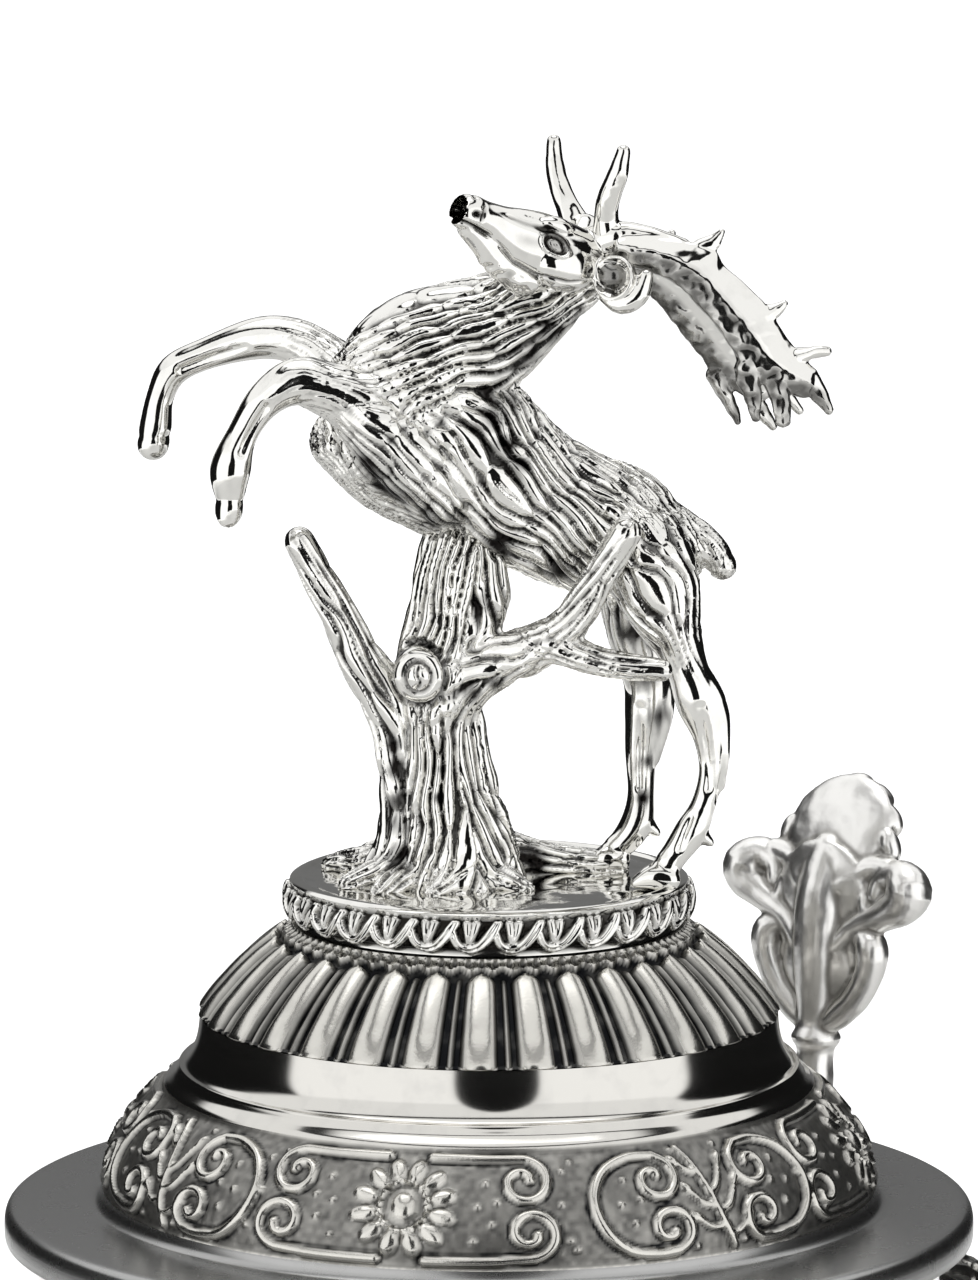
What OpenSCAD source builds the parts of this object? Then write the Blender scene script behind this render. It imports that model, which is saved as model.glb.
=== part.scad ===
// Lidded pewter tankard with a rearing stag finial.
// Millimetres. +Z is up, the origin is the centre of the foot's resting plane, and the handle is at +X.

/* [Vessel] */
// Height of the vessel from the table to the lip
lip_z = 176; // [172:0.5:180]
// Outer radius of the drum just above the foot
drum_r_low = 50.4; // [50:0.1:50.8]
// Outer radius of the drum under the lip
drum_r_high = 48; // [47.5:0.1:48.4]
// Thickness of the drum's wall
wall = 2; // [1.6:0.1:2.2]
// Radius of the foot on the table
foot_r = 64; // [63:0.5:66]
// Height of the foot casting
foot_h = 35; // [35:1:36]
// Height of the raised frieze round the drum
frieze_h = 26; // [20:1:30]

/* [Lid] */
// Radius of the lid's flange at its lower edge
flange_r = 52.4; // [52:0.1:53]
// Thickness of the lid's flange
flange_h = 3.7; // [3.2:0.1:4]
// Thickness of the lid castings
lid_wall = 1.7; // [1.5:0.1:2]

/* [Hinge] */
// Distance of the hinge axis from the tankard's axis
hinge_x = 59.5; // [59:0.1:60.5]
// Radius of the hinge knuckles
knuckle_r = 3.6; // [3.4:0.1:3.8]
// Radius of the hinge pin
pin_r = 1.5; // [1.2:0.1:1.8]
// Radial play between the pin and the lid's knuckle
pin_play = 0.05; // [0.03:0.01:0.08]

/* [Finial] */
// Angle of the stag's plane to the handle, in degrees
finial_turn = -47; // [-60:1:-30]
// Radius of the finial's round plinth
plinth_r = 22.1; // [21.8:0.1:22.4]
// Radius of the finial's threaded stud
stud_r = 2; // [1.8:0.1:2.2]

/* [Hidden] */

smooth = 96;
fine = 14;
pewter = "#9a9c9e";
bright = "#d4d6d8";
steel = "#8a8d90";

lid_gap = 0.3;
lid_z = lip_z + lid_gap + flange_h;      // top of the flange, from which the lid's heights are measured
hinge_z = lid_z - 8;                     // the hinge hangs below the flange, behind the lip
ground_z = lid_z + 35.5;                 // top of the finial's plinth
drum_z = 8;                              // lower end of the drum
base_t = 2.5;                            // thickness of the disc that closes the drum
drum_top = lip_z - 8;
straight_top = foot_h + 1;               // the drum is straight behind the foot, then tapers
frieze_z = 89;
seat_z = 164;                            // flat seat of the hinge block on the handle
boss_x = 55;                             // outer face of the bosses that hold the handle

// Outer radius of the drum at a height.
function drum_r(z) = z <= straight_top ? drum_r_low
    : drum_r_low + (drum_r_high - drum_r_low) * (z - straight_top) / (drum_top - straight_top);

// Points of an arc, from one angle to another.
function arc(cx, cy, r, from, to, steps = 8) =
    [for (i = [0:steps]) let (a = from + (to - from) * i / steps) [cx + r * cos(a), cy + r * sin(a)]];

// A solid of revolution about +Z from a list of [radius, height].
module turned(profile) rotate_extrude($fn = smooth) polygon(profile);

// A tapered link between two balls, each [x, y, z, radius].
module link(a, b) hull() {
    translate([a[0], a[1], a[2]]) sphere(a[3], $fn = fine);
    translate([b[0], b[1], b[2]]) sphere(b[3], $fn = fine);
}

// A chain of links along a list of balls.
module limb(balls) for (i = [0:len(balls) - 2]) link(balls[i], balls[i + 1]);

// A blade: each station has a ball on either edge, and neighbouring stations are joined.
module blade(edge_a, edge_b) for (i = [0:len(edge_a) - 2]) hull()
    for (b = [edge_a[i], edge_b[i], edge_a[i + 1], edge_b[i + 1]])
        translate([b[0], b[1], b[2]]) sphere(b[3], $fn = fine);

// ---------------------------------------------------------------- vessel

// The drum as a solid block, with its turned beads.
module drum_block() {
    turned([
        [0, drum_z], [drum_r_low, drum_z], [drum_r_low, straight_top],
        [drum_r_high, drum_top], [0, drum_top]
    ]);
    for (z = [foot_h + 6, frieze_z - 4, frieze_z + frieze_h + 4, drum_top - 8])
        translate([0, 0, z]) rotate_extrude($fn = smooth)
            translate([drum_r(z) - 0.3, 0]) circle(0.9, $fn = 24);
}

module drum() color(pewter) difference() {
    drum_block();
    turned([
        [0, drum_z - 1], [drum_r_low - wall, drum_z - 1], [drum_r_low - wall, straight_top],
        [drum_r_high - wall, drum_top], [drum_r_high - wall, drum_top + 1], [0, drum_top + 1]
    ]);
}

module base_disc() color(pewter) translate([0, 0, drum_z - base_t])
    cylinder(r = drum_r_low, h = base_t, $fn = smooth);

// The foot: a turned flange, a moulded frieze, a polished hollow and a gadrooned collar.
module foot_ring() color(pewter) turned(concat(
    [[foot_r - 3.2, 0], [foot_r, 0], [foot_r, 2.6], [foot_r - 0.6, 3.6]],
    [[foot_r - 2.6, 4.2], [foot_r - 2.8, 5.4]],
    [[foot_r - 2.9, 8.2], [foot_r - 4.1, 11], [foot_r - 6, 13.4], [foot_r - 9.4, 16.4]],
    [[foot_r - 9.9, 17.4], [foot_r - 10.8, 18.2], [foot_r - 11.6, 20.4], [foot_r - 12, 22.6]],
    arc(foot_r - 14.3, 27.8, 4.6, -60, 60, 10),
    [[drum_r_low + 1.6, foot_h - 2], [drum_r_low + 1.2, foot_h], [drum_r_low, foot_h]],
    [[drum_r_low, drum_z - base_t], [drum_r_low + 6, drum_z - base_t - 0.9], [foot_r - 5, 2.6]]
));

module lip_ring() color(pewter) turned(concat(
    [[drum_r_high - wall, drum_top], [drum_r_high + 0.6, drum_top]],
    arc(drum_r_high + 0.6, drum_top + 1.2, 1.0, -70, 70, 6),
    [[48.8, drum_top + 2.4], [48.8, lip_z - 1.6], [49.1, lip_z - 0.8]],
    [[48.9, lip_z], [drum_r_high - wall, lip_z]]
));

// The frieze is an applied strip whose back follows the drum's taper.
module drum_frieze() color(pewter) turned([
    [drum_r(frieze_z), frieze_z], [drum_r(frieze_z) + 0.9, frieze_z],
    [drum_r(frieze_z + frieze_h) + 0.9, frieze_z + frieze_h],
    [drum_r(frieze_z + frieze_h), frieze_z + frieze_h]
]);

// ---------------------------------------------------------------- handle

// Centreline of the handle in the XZ plane as [x, z, half thickness, half width].
handle_line = [
    [boss_x, 156, 6.4, 8], [62, 157.6, 6, 7.8], [69.5, 157.6, 5.4, 7.4], [77, 155.2, 5, 7.1],
    [84, 150, 4.7, 6.8], [89.6, 142.6, 4.5, 6.5], [93.2, 133, 4.4, 6.3], [94.8, 122, 4.4, 6.2],
    [94.4, 110, 4.4, 6.1], [92, 98, 4.4, 6], [87.8, 86.6, 4.4, 6], [82, 75.6, 4.4, 6],
    [75, 65.8, 4.6, 6.2], [66.4, 58.2, 5, 6.6], [boss_x, 54, 5.8, 7]
];
// The curl under the handle's lower end as [x, z, radius].
handle_curl = [
    [80, 72, 3.6], [83.4, 63, 3.4], [84.6, 54, 3.2], [82, 46.4, 3.1], [76.4, 43, 3],
    [71.4, 45.6, 2.9], [71.2, 50.6, 2.8], [75.2, 52.2, 2.6]
];

// A rounded slab standing across the centreline at one station.
module handle_slice(s) translate([s[0], 0, s[1]]) for (y = [-1, 1])
    translate([0, y * (s[3] - s[2]), 0]) sphere(s[2], $fn = fine);

module handle() color(pewter) difference() {
    union() {
        for (i = [0:len(handle_line) - 2]) hull() {
            handle_slice(handle_line[i]);
            handle_slice(handle_line[i + 1]);
        }
        limb([for (c = handle_curl) [c[0], 0, c[1], c[2]]]);
        // A block under the hinge carries the flat seat.
        hull() {
            translate([boss_x + 0.2, -8, 158]) cube([10.4, 16, 6]);
            translate([boss_x, -6, 154]) cube([14, 12, 2]);
        }
    }
    translate([boss_x - 20, -20, 40]) cube([20, 40, 140]);
    translate([boss_x - 1, -20, seat_z]) cube([20, 40, 20]);
}

// A round boss between the drum and the handle, hollowed to sit on the drum.
module boss(z, r) difference() {
    translate([drum_r_high - 4, 0, z]) rotate([0, 90, 0])
        cylinder(r = r, h = boss_x - drum_r_high + 4, $fn = smooth);
    drum_block();
}

module handle_upper_boss() color(pewter) boss(156, 8.6);
module handle_lower_boss() color(pewter) boss(54, 8);

// ---------------------------------------------------------------- hinge

knuckle_in = 4.3;                        // inner faces of the fixed knuckles
knuckle_out = 9;                         // outer faces of the fixed knuckles
strap_half = 4;                          // half length of the lid's knuckle
strap_x = 42.6;                          // the strap's inner end, under the relief band
strap_t = 2.6;                           // thickness of the strap
drop_t = 5.6;                            // thickness of the strap's arm down to the knuckle
strap_shoulder = 5;                      // height over the hinge at which the arm's outer face ends
seat_t = 4;                              // thickness of the block under the knuckles

module hinge_block() color(pewter) difference() {
    union() {
        for (s = [-1, 1]) {
            translate([hinge_x, s * (knuckle_in + knuckle_out) / 2, hinge_z]) rotate([90, 0, 0])
                cylinder(r = knuckle_r, h = knuckle_out - knuckle_in, center = true, $fn = smooth);
            translate([hinge_x - 3, s > 0 ? knuckle_in : -knuckle_out, seat_z + seat_t - 1])
                cube([6, knuckle_out - knuckle_in, hinge_z - seat_z - seat_t + 1]);
        }
        translate([boss_x + 0.2, -knuckle_out, seat_z]) cube([10.4, 2 * knuckle_out, seat_t]);
    }
    translate([hinge_x, 0, hinge_z]) rotate([90, 0, 0])
        cylinder(r = pin_r, h = 40, center = true, $fn = smooth);
}

module hinge_pin() color(steel) translate([hinge_x, 0, hinge_z]) rotate([90, 0, 0])
    cylinder(r = pin_r, h = 2 * knuckle_out, center = true, $fn = smooth);

module hinge_pin_caps() color(bright) for (s = [-1, 1])
    translate([hinge_x, s * knuckle_out, hinge_z]) rotate([-90 * s, 0, 0]) intersection() {
        translate([0, 0, -1.6]) sphere(3.1, $fn = smooth);
        cylinder(r = 4, h = 4, $fn = smooth);
    }

// ---------------------------------------------------------------- lid

// Outer profile of the lid's lower casting as [radius, height above the flange's top].
lid_outer = [
    [flange_r, -flange_h + 0.4], [flange_r - 0.1, -0.8], [flange_r - 0.4, -0.1], [flange_r - 1.2, 0],
    [43, 0.5], [42.2, 0.9], [41.8, 1.9], [41.7, 4.6], [40.6, 7.3], [38.8, 9.9], [37.1, 11.8],
    [35.2, 13.3], [34.5, 13.9], [34.1, 14.7], [33, 15.2], [32.3, 16.3], [31.7, 17.8],
    [31.3, 19.4], [31.1, 20.9]
];
lid_inner = [
    [31.1 - lid_wall, 20.9], [31.1 - lid_wall, 17], [32.2 - lid_wall, 14.6], [35.2 - lid_wall, 11.6],
    [39 - lid_wall, 7.4], [41.4 - lid_wall, 3], [41.4 - lid_wall, -flange_h]
];
lid_edge = [[flange_r - 0.4, -flange_h]];
dome_z = 20.9;
dome_top = 31;
dome_outer = [
    [31.2, dome_z], [30.7, 21.8], [29.9, 23], [28.9, 24.3], [27.9, 25.5], [26.8, 26.6], [25.4, 27.9],
    [23.9, 29], [22.4, 30], [21.2, dome_top]
];

module at_lid() translate([0, 0, lid_z]) children();

module lid_base() color(pewter) at_lid() turned(concat(lid_edge, lid_outer, lid_inner));

module lid_dome() color(pewter) at_lid() turned(concat(
    dome_outer, [[stud_r + 0.3, dome_top], [stud_r + 0.3, dome_top - lid_wall]],
    [[20.4, dome_top - lid_wall], [22.6, 28.4], [25.6, 25.6], [27.6, 23.2], [29.4, dome_z]]
));

module lid_locating_ring() color(pewter) at_lid() turned([
    [43, -flange_h - 3.4], [44.4, -flange_h - 3.4], [44.8, -flange_h - 2.8],
    [44.8, -flange_h], [43, -flange_h]
]);

module lid_solid() turned(concat([[0, -flange_h], [flange_r - 0.4, -flange_h]], lid_outer, [[0, 20.9]]));

// The strap lies on the flange and turns down into the middle knuckle.
module lid_strap() color(pewter) difference() {
    union() {
        translate([hinge_x, 0, hinge_z]) rotate([90, 0, 0])
            cylinder(r = knuckle_r, h = 2 * strap_half, center = true, $fn = smooth);
        translate([0, strap_half, 0]) rotate([90, 0, 0]) linear_extrude(2 * strap_half) polygon([
            [strap_x, lid_z], [hinge_x - drop_t, lid_z], [hinge_x - drop_t, hinge_z - 1],
            [hinge_x, hinge_z - 1], [hinge_x, hinge_z + strap_shoulder],
            [hinge_x - drop_t + 0.3, lid_z + strap_t], [strap_x, lid_z + strap_t]
        ]);
        translate([48.4, 0, lid_z]) cylinder(r = 6.6, h = 2, $fn = smooth);
    }
    at_lid() lid_solid();
    translate([hinge_x, 0, hinge_z]) rotate([90, 0, 0])
        cylinder(r = pin_r + pin_play, h = 40, center = true, $fn = smooth);
}

// Outline of the thumb lift, seen from the handle, as [across, up, half thickness].
lift_z = 2.6;                            // foot of the lift above the flange
lift_x = 52.9;
lift_lean = 0.19;                        // outward travel for each millimetre up
function lift_at(p) = [lift_x + lift_lean * p[1], p[0], lid_z + lift_z + p[1], p[2]];
lift_stem = [[0, 1.8, 2], [0, 7, 1.9], [0, 11, 1.8], [0, 17, 2.4], [0, 24, 2.4], [0, 28, 2]];
lift_scroll = [
    [1.6, 9.4, 1.5], [4.6, 10.6, 1.5], [7.4, 13.4, 1.6], [7.5, 17.4, 1.8], [4.2, 19.4, 1.6],
    [2.4, 16.2, 1.5]
];
lift_arm = [[1.2, 20.4, 1.9], [5.4, 20.6, 1.8], [9, 22.2, 2], [12.1, 24.8, 2.8], [5, 25.6, 1.8]];
lift_fan = [for (a = [-64:16:64]) [8 * sin(a), 26.2 + 8 * cos(a), 1.5]];

module thumb_lift() color(pewter) difference() {
    union() {
        limb([for (p = lift_stem) lift_at(p)]);
        for (s = [-1, 1]) {
            limb([for (p = lift_scroll) lift_at([s * p[0], p[1], p[2]])]);
            limb([for (p = lift_arm) lift_at([s * p[0], p[1], p[2]])]);
        }
        for (f = lift_fan) link(lift_at([0, 26, 2]), lift_at(f));
        translate([lift_x - 3, -5, lid_z + lift_z]) cube([6.4, 10, 1.8]);
    }
    translate([0, -20, lid_z + lift_z - 10]) cube([80, 40, 10]);
}

// ---------------------------------------------------------------- finial
// The finial's own frame has +X to the stag's tail and its origin on top of the plinth.

module at_finial() translate([0, 0, ground_z]) rotate([0, 0, finial_turn]) children();

plinth_h = ground_z - lid_z - dome_top;

module finial_plinth() color(bright) translate([0, 0, lid_z + dome_top]) difference() {
    turned(concat(
        [[0, 0], [plinth_r - 1.2, 0], [plinth_r - 0.5, 0.8]],
        arc(plinth_r - 1.9, 2.9, 1.9, -50, 90, 8),
        [[plinth_r - 2.6, plinth_h + 0.1], [plinth_r - 3.2, plinth_h], [0, plinth_h]]
    ));
    translate([0, 0, -1]) cylinder(r = stud_r, h = 4, $fn = smooth);
}

trunk = [
    [-3.8, -2, -0.6, 6], [-4.6, -2, 3.5, 4.9], [-5.3, -2, 9, 4.4], [-5.6, -2, 17, 4.5],
    [-5.8, -2, 22.5, 4.9], [-5, -1.6, 27.5, 4.1], [-4.5, -1.2, 34.5, 3.7]
];
roots = [
    [[-8, -3, 1.2, 2.4], [-12, -4.5, 0.6, 1.6], [-15, -6, 0.2, 1]],
    [[-7.5, 1, 1.6, 2.6], [-12.5, 3, 0.8, 1.7], [-17, 5.5, 0.2, 0.9]],
    [[0, -4.5, 1, 2.2], [3.4, -7, 0.4, 1.1]],
    [[0, 1, 1.8, 2.8], [6, 3, 0.9, 2], [13.6, 4.6, 0, 1.5]],
    [[-4, -6, 1, 2.4], [-6, -9.4, 0.2, 1.1]]
];
left_branch = [
    [-8, -2.4, 17, 3.2], [-11.3, -2.5, 23.1, 2.5], [-15, -3, 28.6, 2.2],
    [-20.4, -3.5, 37.2, 1.5]
];
right_branch = [
    [-3, -3.6, 21.5, 3.6], [1, -5, 24.4, 2.8], [7.5, -8.2, 28.3, 2.4], [14.4, -11, 39.3, 1.6]
];
twig = [[6.4, -8, 27, 2.1], [11.8, -9.6, 25.6, 1.7], [18.2, -10.4, 24.5, 1.2]];

module tree_stump() color(bright) at_finial() difference() {
    union() {
        limb(trunk);
        for (r = roots) limb(r);
        limb(left_branch);
        limb(right_branch);
        limb(twig);
        link([-7.1, -5.2, 23.9, 2.4], [-7.3, -6.9, 24, 2]);
    }
    translate([-30, -30, -10]) cube([60, 60, 10 - 0.2]);
}

torso = [
    [-9.1, -1, 48.9, 8.2], [-2.1, -1, 47.6, 8.2], [2.1, -0.5, 42.6, 8], [8, 0, 39.4, 7.5],
    [14.1, 0, 37.3, 7], [17.4, 0, 35.6, 5.5]
];
neck = [
    [-8.6, -1, 51, 8.2], [-5.2, -1, 55, 8.4], [1.1, -1.5, 60.1, 5.6], [6.6, -2.2, 64.1, 4.2],
    [11.2, -2.8, 67.4, 3.2]
];
head = [
    [11, -2.8, 68, 3.1], [6.8, -5.4, 69.3, 3.3], [2.4, -8.5, 71.4, 2.4], [-1.1, -11, 73, 2],
    [-2.5, -12, 73.8, 1.6]
];
near_hind = [
    [17.2, -3.6, 34.8, 5.2], [19.1, -5, 29.6, 3.5], [21.4, -5.5, 24.4, 2.4], [23.7, -5.5, 20, 2.1],
    [23.9, -5.5, 15.4, 1.7], [23.2, -5.6, 10.5, 1.5], [22.2, -5.8, 6.6, 1.7], [20.6, -6, 3.8, 1.4],
    [18.6, -6.2, 1.5, 1.6], [16.9, -6.3, 0.7, 0.9]
];
far_hind = [
    [16.2, 3.6, 33.4, 5], [15.2, 4.4, 26, 3], [17.7, 5, 18, 2.1], [16.8, 5, 12.6, 1.6],
    [16.1, 5, 7.7, 1.5], [15.4, 5, 4.4, 1.6], [13.4, 4.6, 2.2, 1.5]
];
near_fore = [
    [-10.2, -5, 48.6, 4.6], [-15, -6.6, 52.1, 3.2], [-20.4, -7.4, 55, 2.3], [-24.9, -8, 50.6, 1.6],
    [-27.5, -8, 45.5, 1.7], [-27.7, -8, 41.4, 1.4]
];
far_fore = [
    [-12.4, 3, 51, 4.2], [-18.8, 5, 55.5, 2.7], [-22.2, 5.5, 58.4, 2.1], [-29.5, 6, 56.7, 1.6],
    [-33.4, 6, 54.1, 1.5], [-35.8, 6, 48.3, 1.5], [-36.2, 6, 46, 1.5]
];
tail = [[19, 0, 38, 3], [22.9, 0, 37.2, 1.7], [25.2, 0, 34.4, 1.2]];
near_ear = [[11.6, -5, 67.4, 1.3], [14.6, -8, 65.6, 1.8]];
far_ear = [[10.4, 0.6, 69.4, 1.2], [12.6, 3.6, 70, 1.6]];

module stag_body() color(bright) at_finial() difference() {
    union() {
        limb(torso);
        limb(neck);
        limb(head);
        limb(near_hind);
        limb(far_hind);
        limb(near_fore);
        limb(far_fore);
        limb(tail);
        limb(near_ear);
        limb(far_ear);
    }
    translate([-30, -30, -10]) cube([60, 60, 10 - 0.2]);
}

// Each antler: [beam, brow tine, tines], and a palm between two edges.
near_beam = [
    [11.8, -3.8, 69.2, 1.6], [14.4, -4.6, 70.2, 1.3], [17.7, -5, 69.7, 1.3],
    [20.4, -5.3, 69, 1.2]
];
near_brow = [[12.6, -4.6, 70.4, 1.1], [13.4, -5.8, 74.6, 0.95], [14.1, -6.5, 79.4, 0.8]];
near_upper = [
    [20.4, -5, 69.6, 0.9], [24.2, -4.4, 68.9, 0.8], [28.4, -4.6, 65.2, 0.8],
    [32.2, -5, 60, 0.8], [35, -5.6, 55.6, 0.7]
];
near_lower = [
    [19.6, -5.8, 68.2, 0.9], [22.4, -7.6, 66.4, 0.8], [26, -8.4, 62.4, 0.8],
    [29.4, -9, 57.6, 0.8], [32.6, -8.6, 53.8, 0.7]
];
near_tines = [
    [[23.8, -4.4, 68.8, 0.8], [24.7, -4.2, 70.5, 0.5]],
    [[29.2, -4.6, 63.4, 0.8], [31.3, -4.4, 62.9, 0.5]],
    [[33.2, -5.2, 58.4, 0.8], [35.7, -4.8, 58.4, 0.5]],
    [[34.4, -6, 55, 0.8], [36.1, -6.4, 52.1, 0.5]],
    [[31.8, -8.6, 54, 0.8], [33, -9.2, 50.6, 0.5]]
];

far_beam = [[10.6, -0.6, 69, 1.6], [12.4, 1.6, 69, 1.4], [14.6, 3.8, 67.6, 1.3], [17, 5, 66, 1.2]];
far_brow = [[10, 0.2, 70, 1.1], [7.8, 2, 74.4, 0.95], [6.9, 3.4, 79.2, 0.8]];
far_upper = [
    [17.6, 5, 66.8, 0.9], [21.6, 6, 64.6, 0.8], [25.6, 7, 60.2, 0.8], [29, 7.8, 55.2, 0.8],
    [32, 8, 51.4, 0.7]
];
far_lower = [
    [15.6, 5.4, 64.2, 0.9], [18.6, 7, 60.6, 0.8], [21.6, 8, 56.8, 0.8], [24.6, 8.6, 53, 0.8],
    [28.6, 8.6, 50, 0.7]
];
far_tines = [
    [[18, 5.2, 66.6, 0.8], [19.1, 6.4, 69, 0.5]], [[24.4, 8.6, 53.2, 0.8], [27, 8.8, 48.2, 0.5]],
    [[28.4, 8.6, 50.8, 0.9], [30.6, 8.6, 47.9, 0.5]], [[31, 8, 52, 0.8], [33.4, 8, 49.6, 0.5]]
];

module antler(beam, brow, upper, lower, tines) {
    limb(beam);
    limb(brow);
    blade(upper, lower);
    for (t = tines) limb(t);
}

module antler_near() color(bright) at_finial()
    antler(near_beam, near_brow, near_upper, near_lower, near_tines);
module antler_far() color(bright) at_finial() antler(far_beam, far_brow, far_upper, far_lower, far_tines);

washer_h = 1;
nut_h = 3.2;
nut_top = dome_top - lid_wall - washer_h;

module finial_stud() color(steel) translate([0, 0, lid_z + nut_top - nut_h - 1.4])
    cylinder(r = stud_r, h = dome_top + 3 - (nut_top - nut_h - 1.4), $fn = smooth);

module finial_washer() color(steel) translate([0, 0, lid_z + nut_top]) difference() {
    cylinder(r = 5, h = washer_h, $fn = smooth);
    translate([0, 0, -1]) cylinder(r = stud_r + 0.15, h = 3, $fn = smooth);
}

module finial_nut() color(steel) translate([0, 0, lid_z + nut_top - nut_h]) difference() {
    cylinder(r = 4.04, h = nut_h, $fn = 6);
    translate([0, 0, -1]) cylinder(r = stud_r, h = nut_h + 2, $fn = smooth);
}

drum();
base_disc();
foot_ring();
lip_ring();
drum_frieze();
handle();
handle_upper_boss();
handle_lower_boss();
hinge_block();
hinge_pin();
hinge_pin_caps();
lid_base();
lid_dome();
lid_locating_ring();
lid_strap();
thumb_lift();
finial_plinth();
tree_stump();
stag_body();
antler_near();
antler_far();
finial_stud();
finial_washer();
finial_nut();
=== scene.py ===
"""Looks of a lidded pewter tankard: turned and cast pewter, a bright stag finial and a small studio.

Modelling is done in millimetres in the frame of the tankard (origin under the foot, +Z up, handle at +X).
The finial has a frame of its own, turned about +Z, with its origin on top of the plinth.
"""
from __future__ import annotations

import logging
import math
from dataclasses import dataclass, field
from enum import Enum
from functools import partial
from typing import Callable, Optional, Sequence, Union

import bmesh
import bpy
import numpy as np
from mathutils import Matrix, Vector, noise
from numpy.linalg import norm


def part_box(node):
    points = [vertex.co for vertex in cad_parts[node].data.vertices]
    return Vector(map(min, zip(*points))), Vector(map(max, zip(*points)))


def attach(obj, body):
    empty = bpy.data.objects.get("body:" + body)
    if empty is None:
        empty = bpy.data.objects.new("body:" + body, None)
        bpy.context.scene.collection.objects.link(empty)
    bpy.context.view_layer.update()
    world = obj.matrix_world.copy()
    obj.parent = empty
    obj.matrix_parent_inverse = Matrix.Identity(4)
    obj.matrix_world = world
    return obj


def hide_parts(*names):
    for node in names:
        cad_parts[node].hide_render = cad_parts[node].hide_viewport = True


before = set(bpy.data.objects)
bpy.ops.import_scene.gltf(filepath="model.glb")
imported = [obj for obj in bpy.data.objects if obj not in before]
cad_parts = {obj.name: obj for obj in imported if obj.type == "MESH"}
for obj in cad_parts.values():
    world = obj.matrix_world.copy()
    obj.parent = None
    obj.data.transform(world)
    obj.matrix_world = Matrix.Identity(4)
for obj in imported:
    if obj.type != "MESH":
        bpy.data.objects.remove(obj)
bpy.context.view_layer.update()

LOG = logging.getLogger("tankard")
MM = 0.001
Point = Sequence[float]
Line = Sequence[Sequence[float]]
Array = np.ndarray
Lifted = tuple[np.ndarray, np.ndarray]      # heights in millimetres, and how far each spot is rubbed back
Mesh = bpy.types.Mesh
Forms = bmesh.types.BMesh


class Body(Enum):
    """The two bodies that the hinge joins."""

    VESSEL = "vessel"
    LID = "lid"


class Slot(Enum):
    """Names of three material slots."""

    TURNED = "turned_pewter"
    CAST = "cast_pewter"
    BRIGHT = "bright_casting"


# ---- places, in millimetres

LID_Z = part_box("finial_plinth")[0].z / MM - 31.0     # top of the lid's flange
GROUND_Z = LID_Z + 35.5                              # top of the finial's plinth
HINGE_X = (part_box("hinge_pin")[0].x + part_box("hinge_pin")[1].x) / 2 / MM
HINGE_Z = (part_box("hinge_pin")[0].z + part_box("hinge_pin")[1].z) / 2 / MM
FINIAL_TURN = -47.0                                  # degrees from the handle to the stag's tail
FRONT = FINIAL_TURN - 90.0                           # direction in which the stag's near side faces


# ---- nodes and finishes

def linear(code: str) -> tuple[float, float, float, float]:
    """Turns an sRGB hex colour to linear RGBA.

    Args:
        code: Colour such as "#c8c8c4".

    Returns:
        Linear red, green, blue and an alpha of 1.
    """
    parts = [int(code[i:i + 2], 16) / 255 for i in (1, 3, 5)]
    return (*[p / 12.92 if p <= 0.04045 else ((p + 0.055) / 1.055) ** 2.4 for p in parts], 1)


def add_node(tree: bpy.types.NodeTree, kind: str, settings: Optional[dict] = None,
             links: Optional[dict] = None) -> bpy.types.Node:
    """Adds a node with its settings and links.

    Args:
        tree: Node tree to add to.
        kind: Blender's name for the node type, without its first word ShaderNode.
        settings: Property or input name, or input number, to value; "stops" fills a colour ramp.
        links: Input name or number to the output socket that feeds it.

    Returns:
        The new node.
    """
    node = tree.nodes.new("ShaderNode" + kind)
    for key, value in (settings or {}).items():
        if key == "stops":
            ramp = node.color_ramp
            while len(ramp.elements) < len(value):
                ramp.elements.new(0.5)
            for element, (place, colour) in zip(ramp.elements, value):
                element.position = place
                element.color = colour
        elif isinstance(key, int) or key in node.inputs:
            node.inputs[key].default_value = value
        else:
            setattr(node, key, value)
    for key, source in (links or {}).items():
        tree.links.new(source, node.inputs[key])
    return node


def empty_tree(owner: Union[bpy.types.Material, bpy.types.World]) -> Callable[..., bpy.types.Node]:
    """Empties the node tree of a material or a world.

    Args:
        owner: The material or the world.

    Returns:
        add_node for this tree.
    """
    owner.use_nodes = True
    owner.node_tree.nodes.clear()
    return partial(add_node, owner.node_tree)


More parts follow.
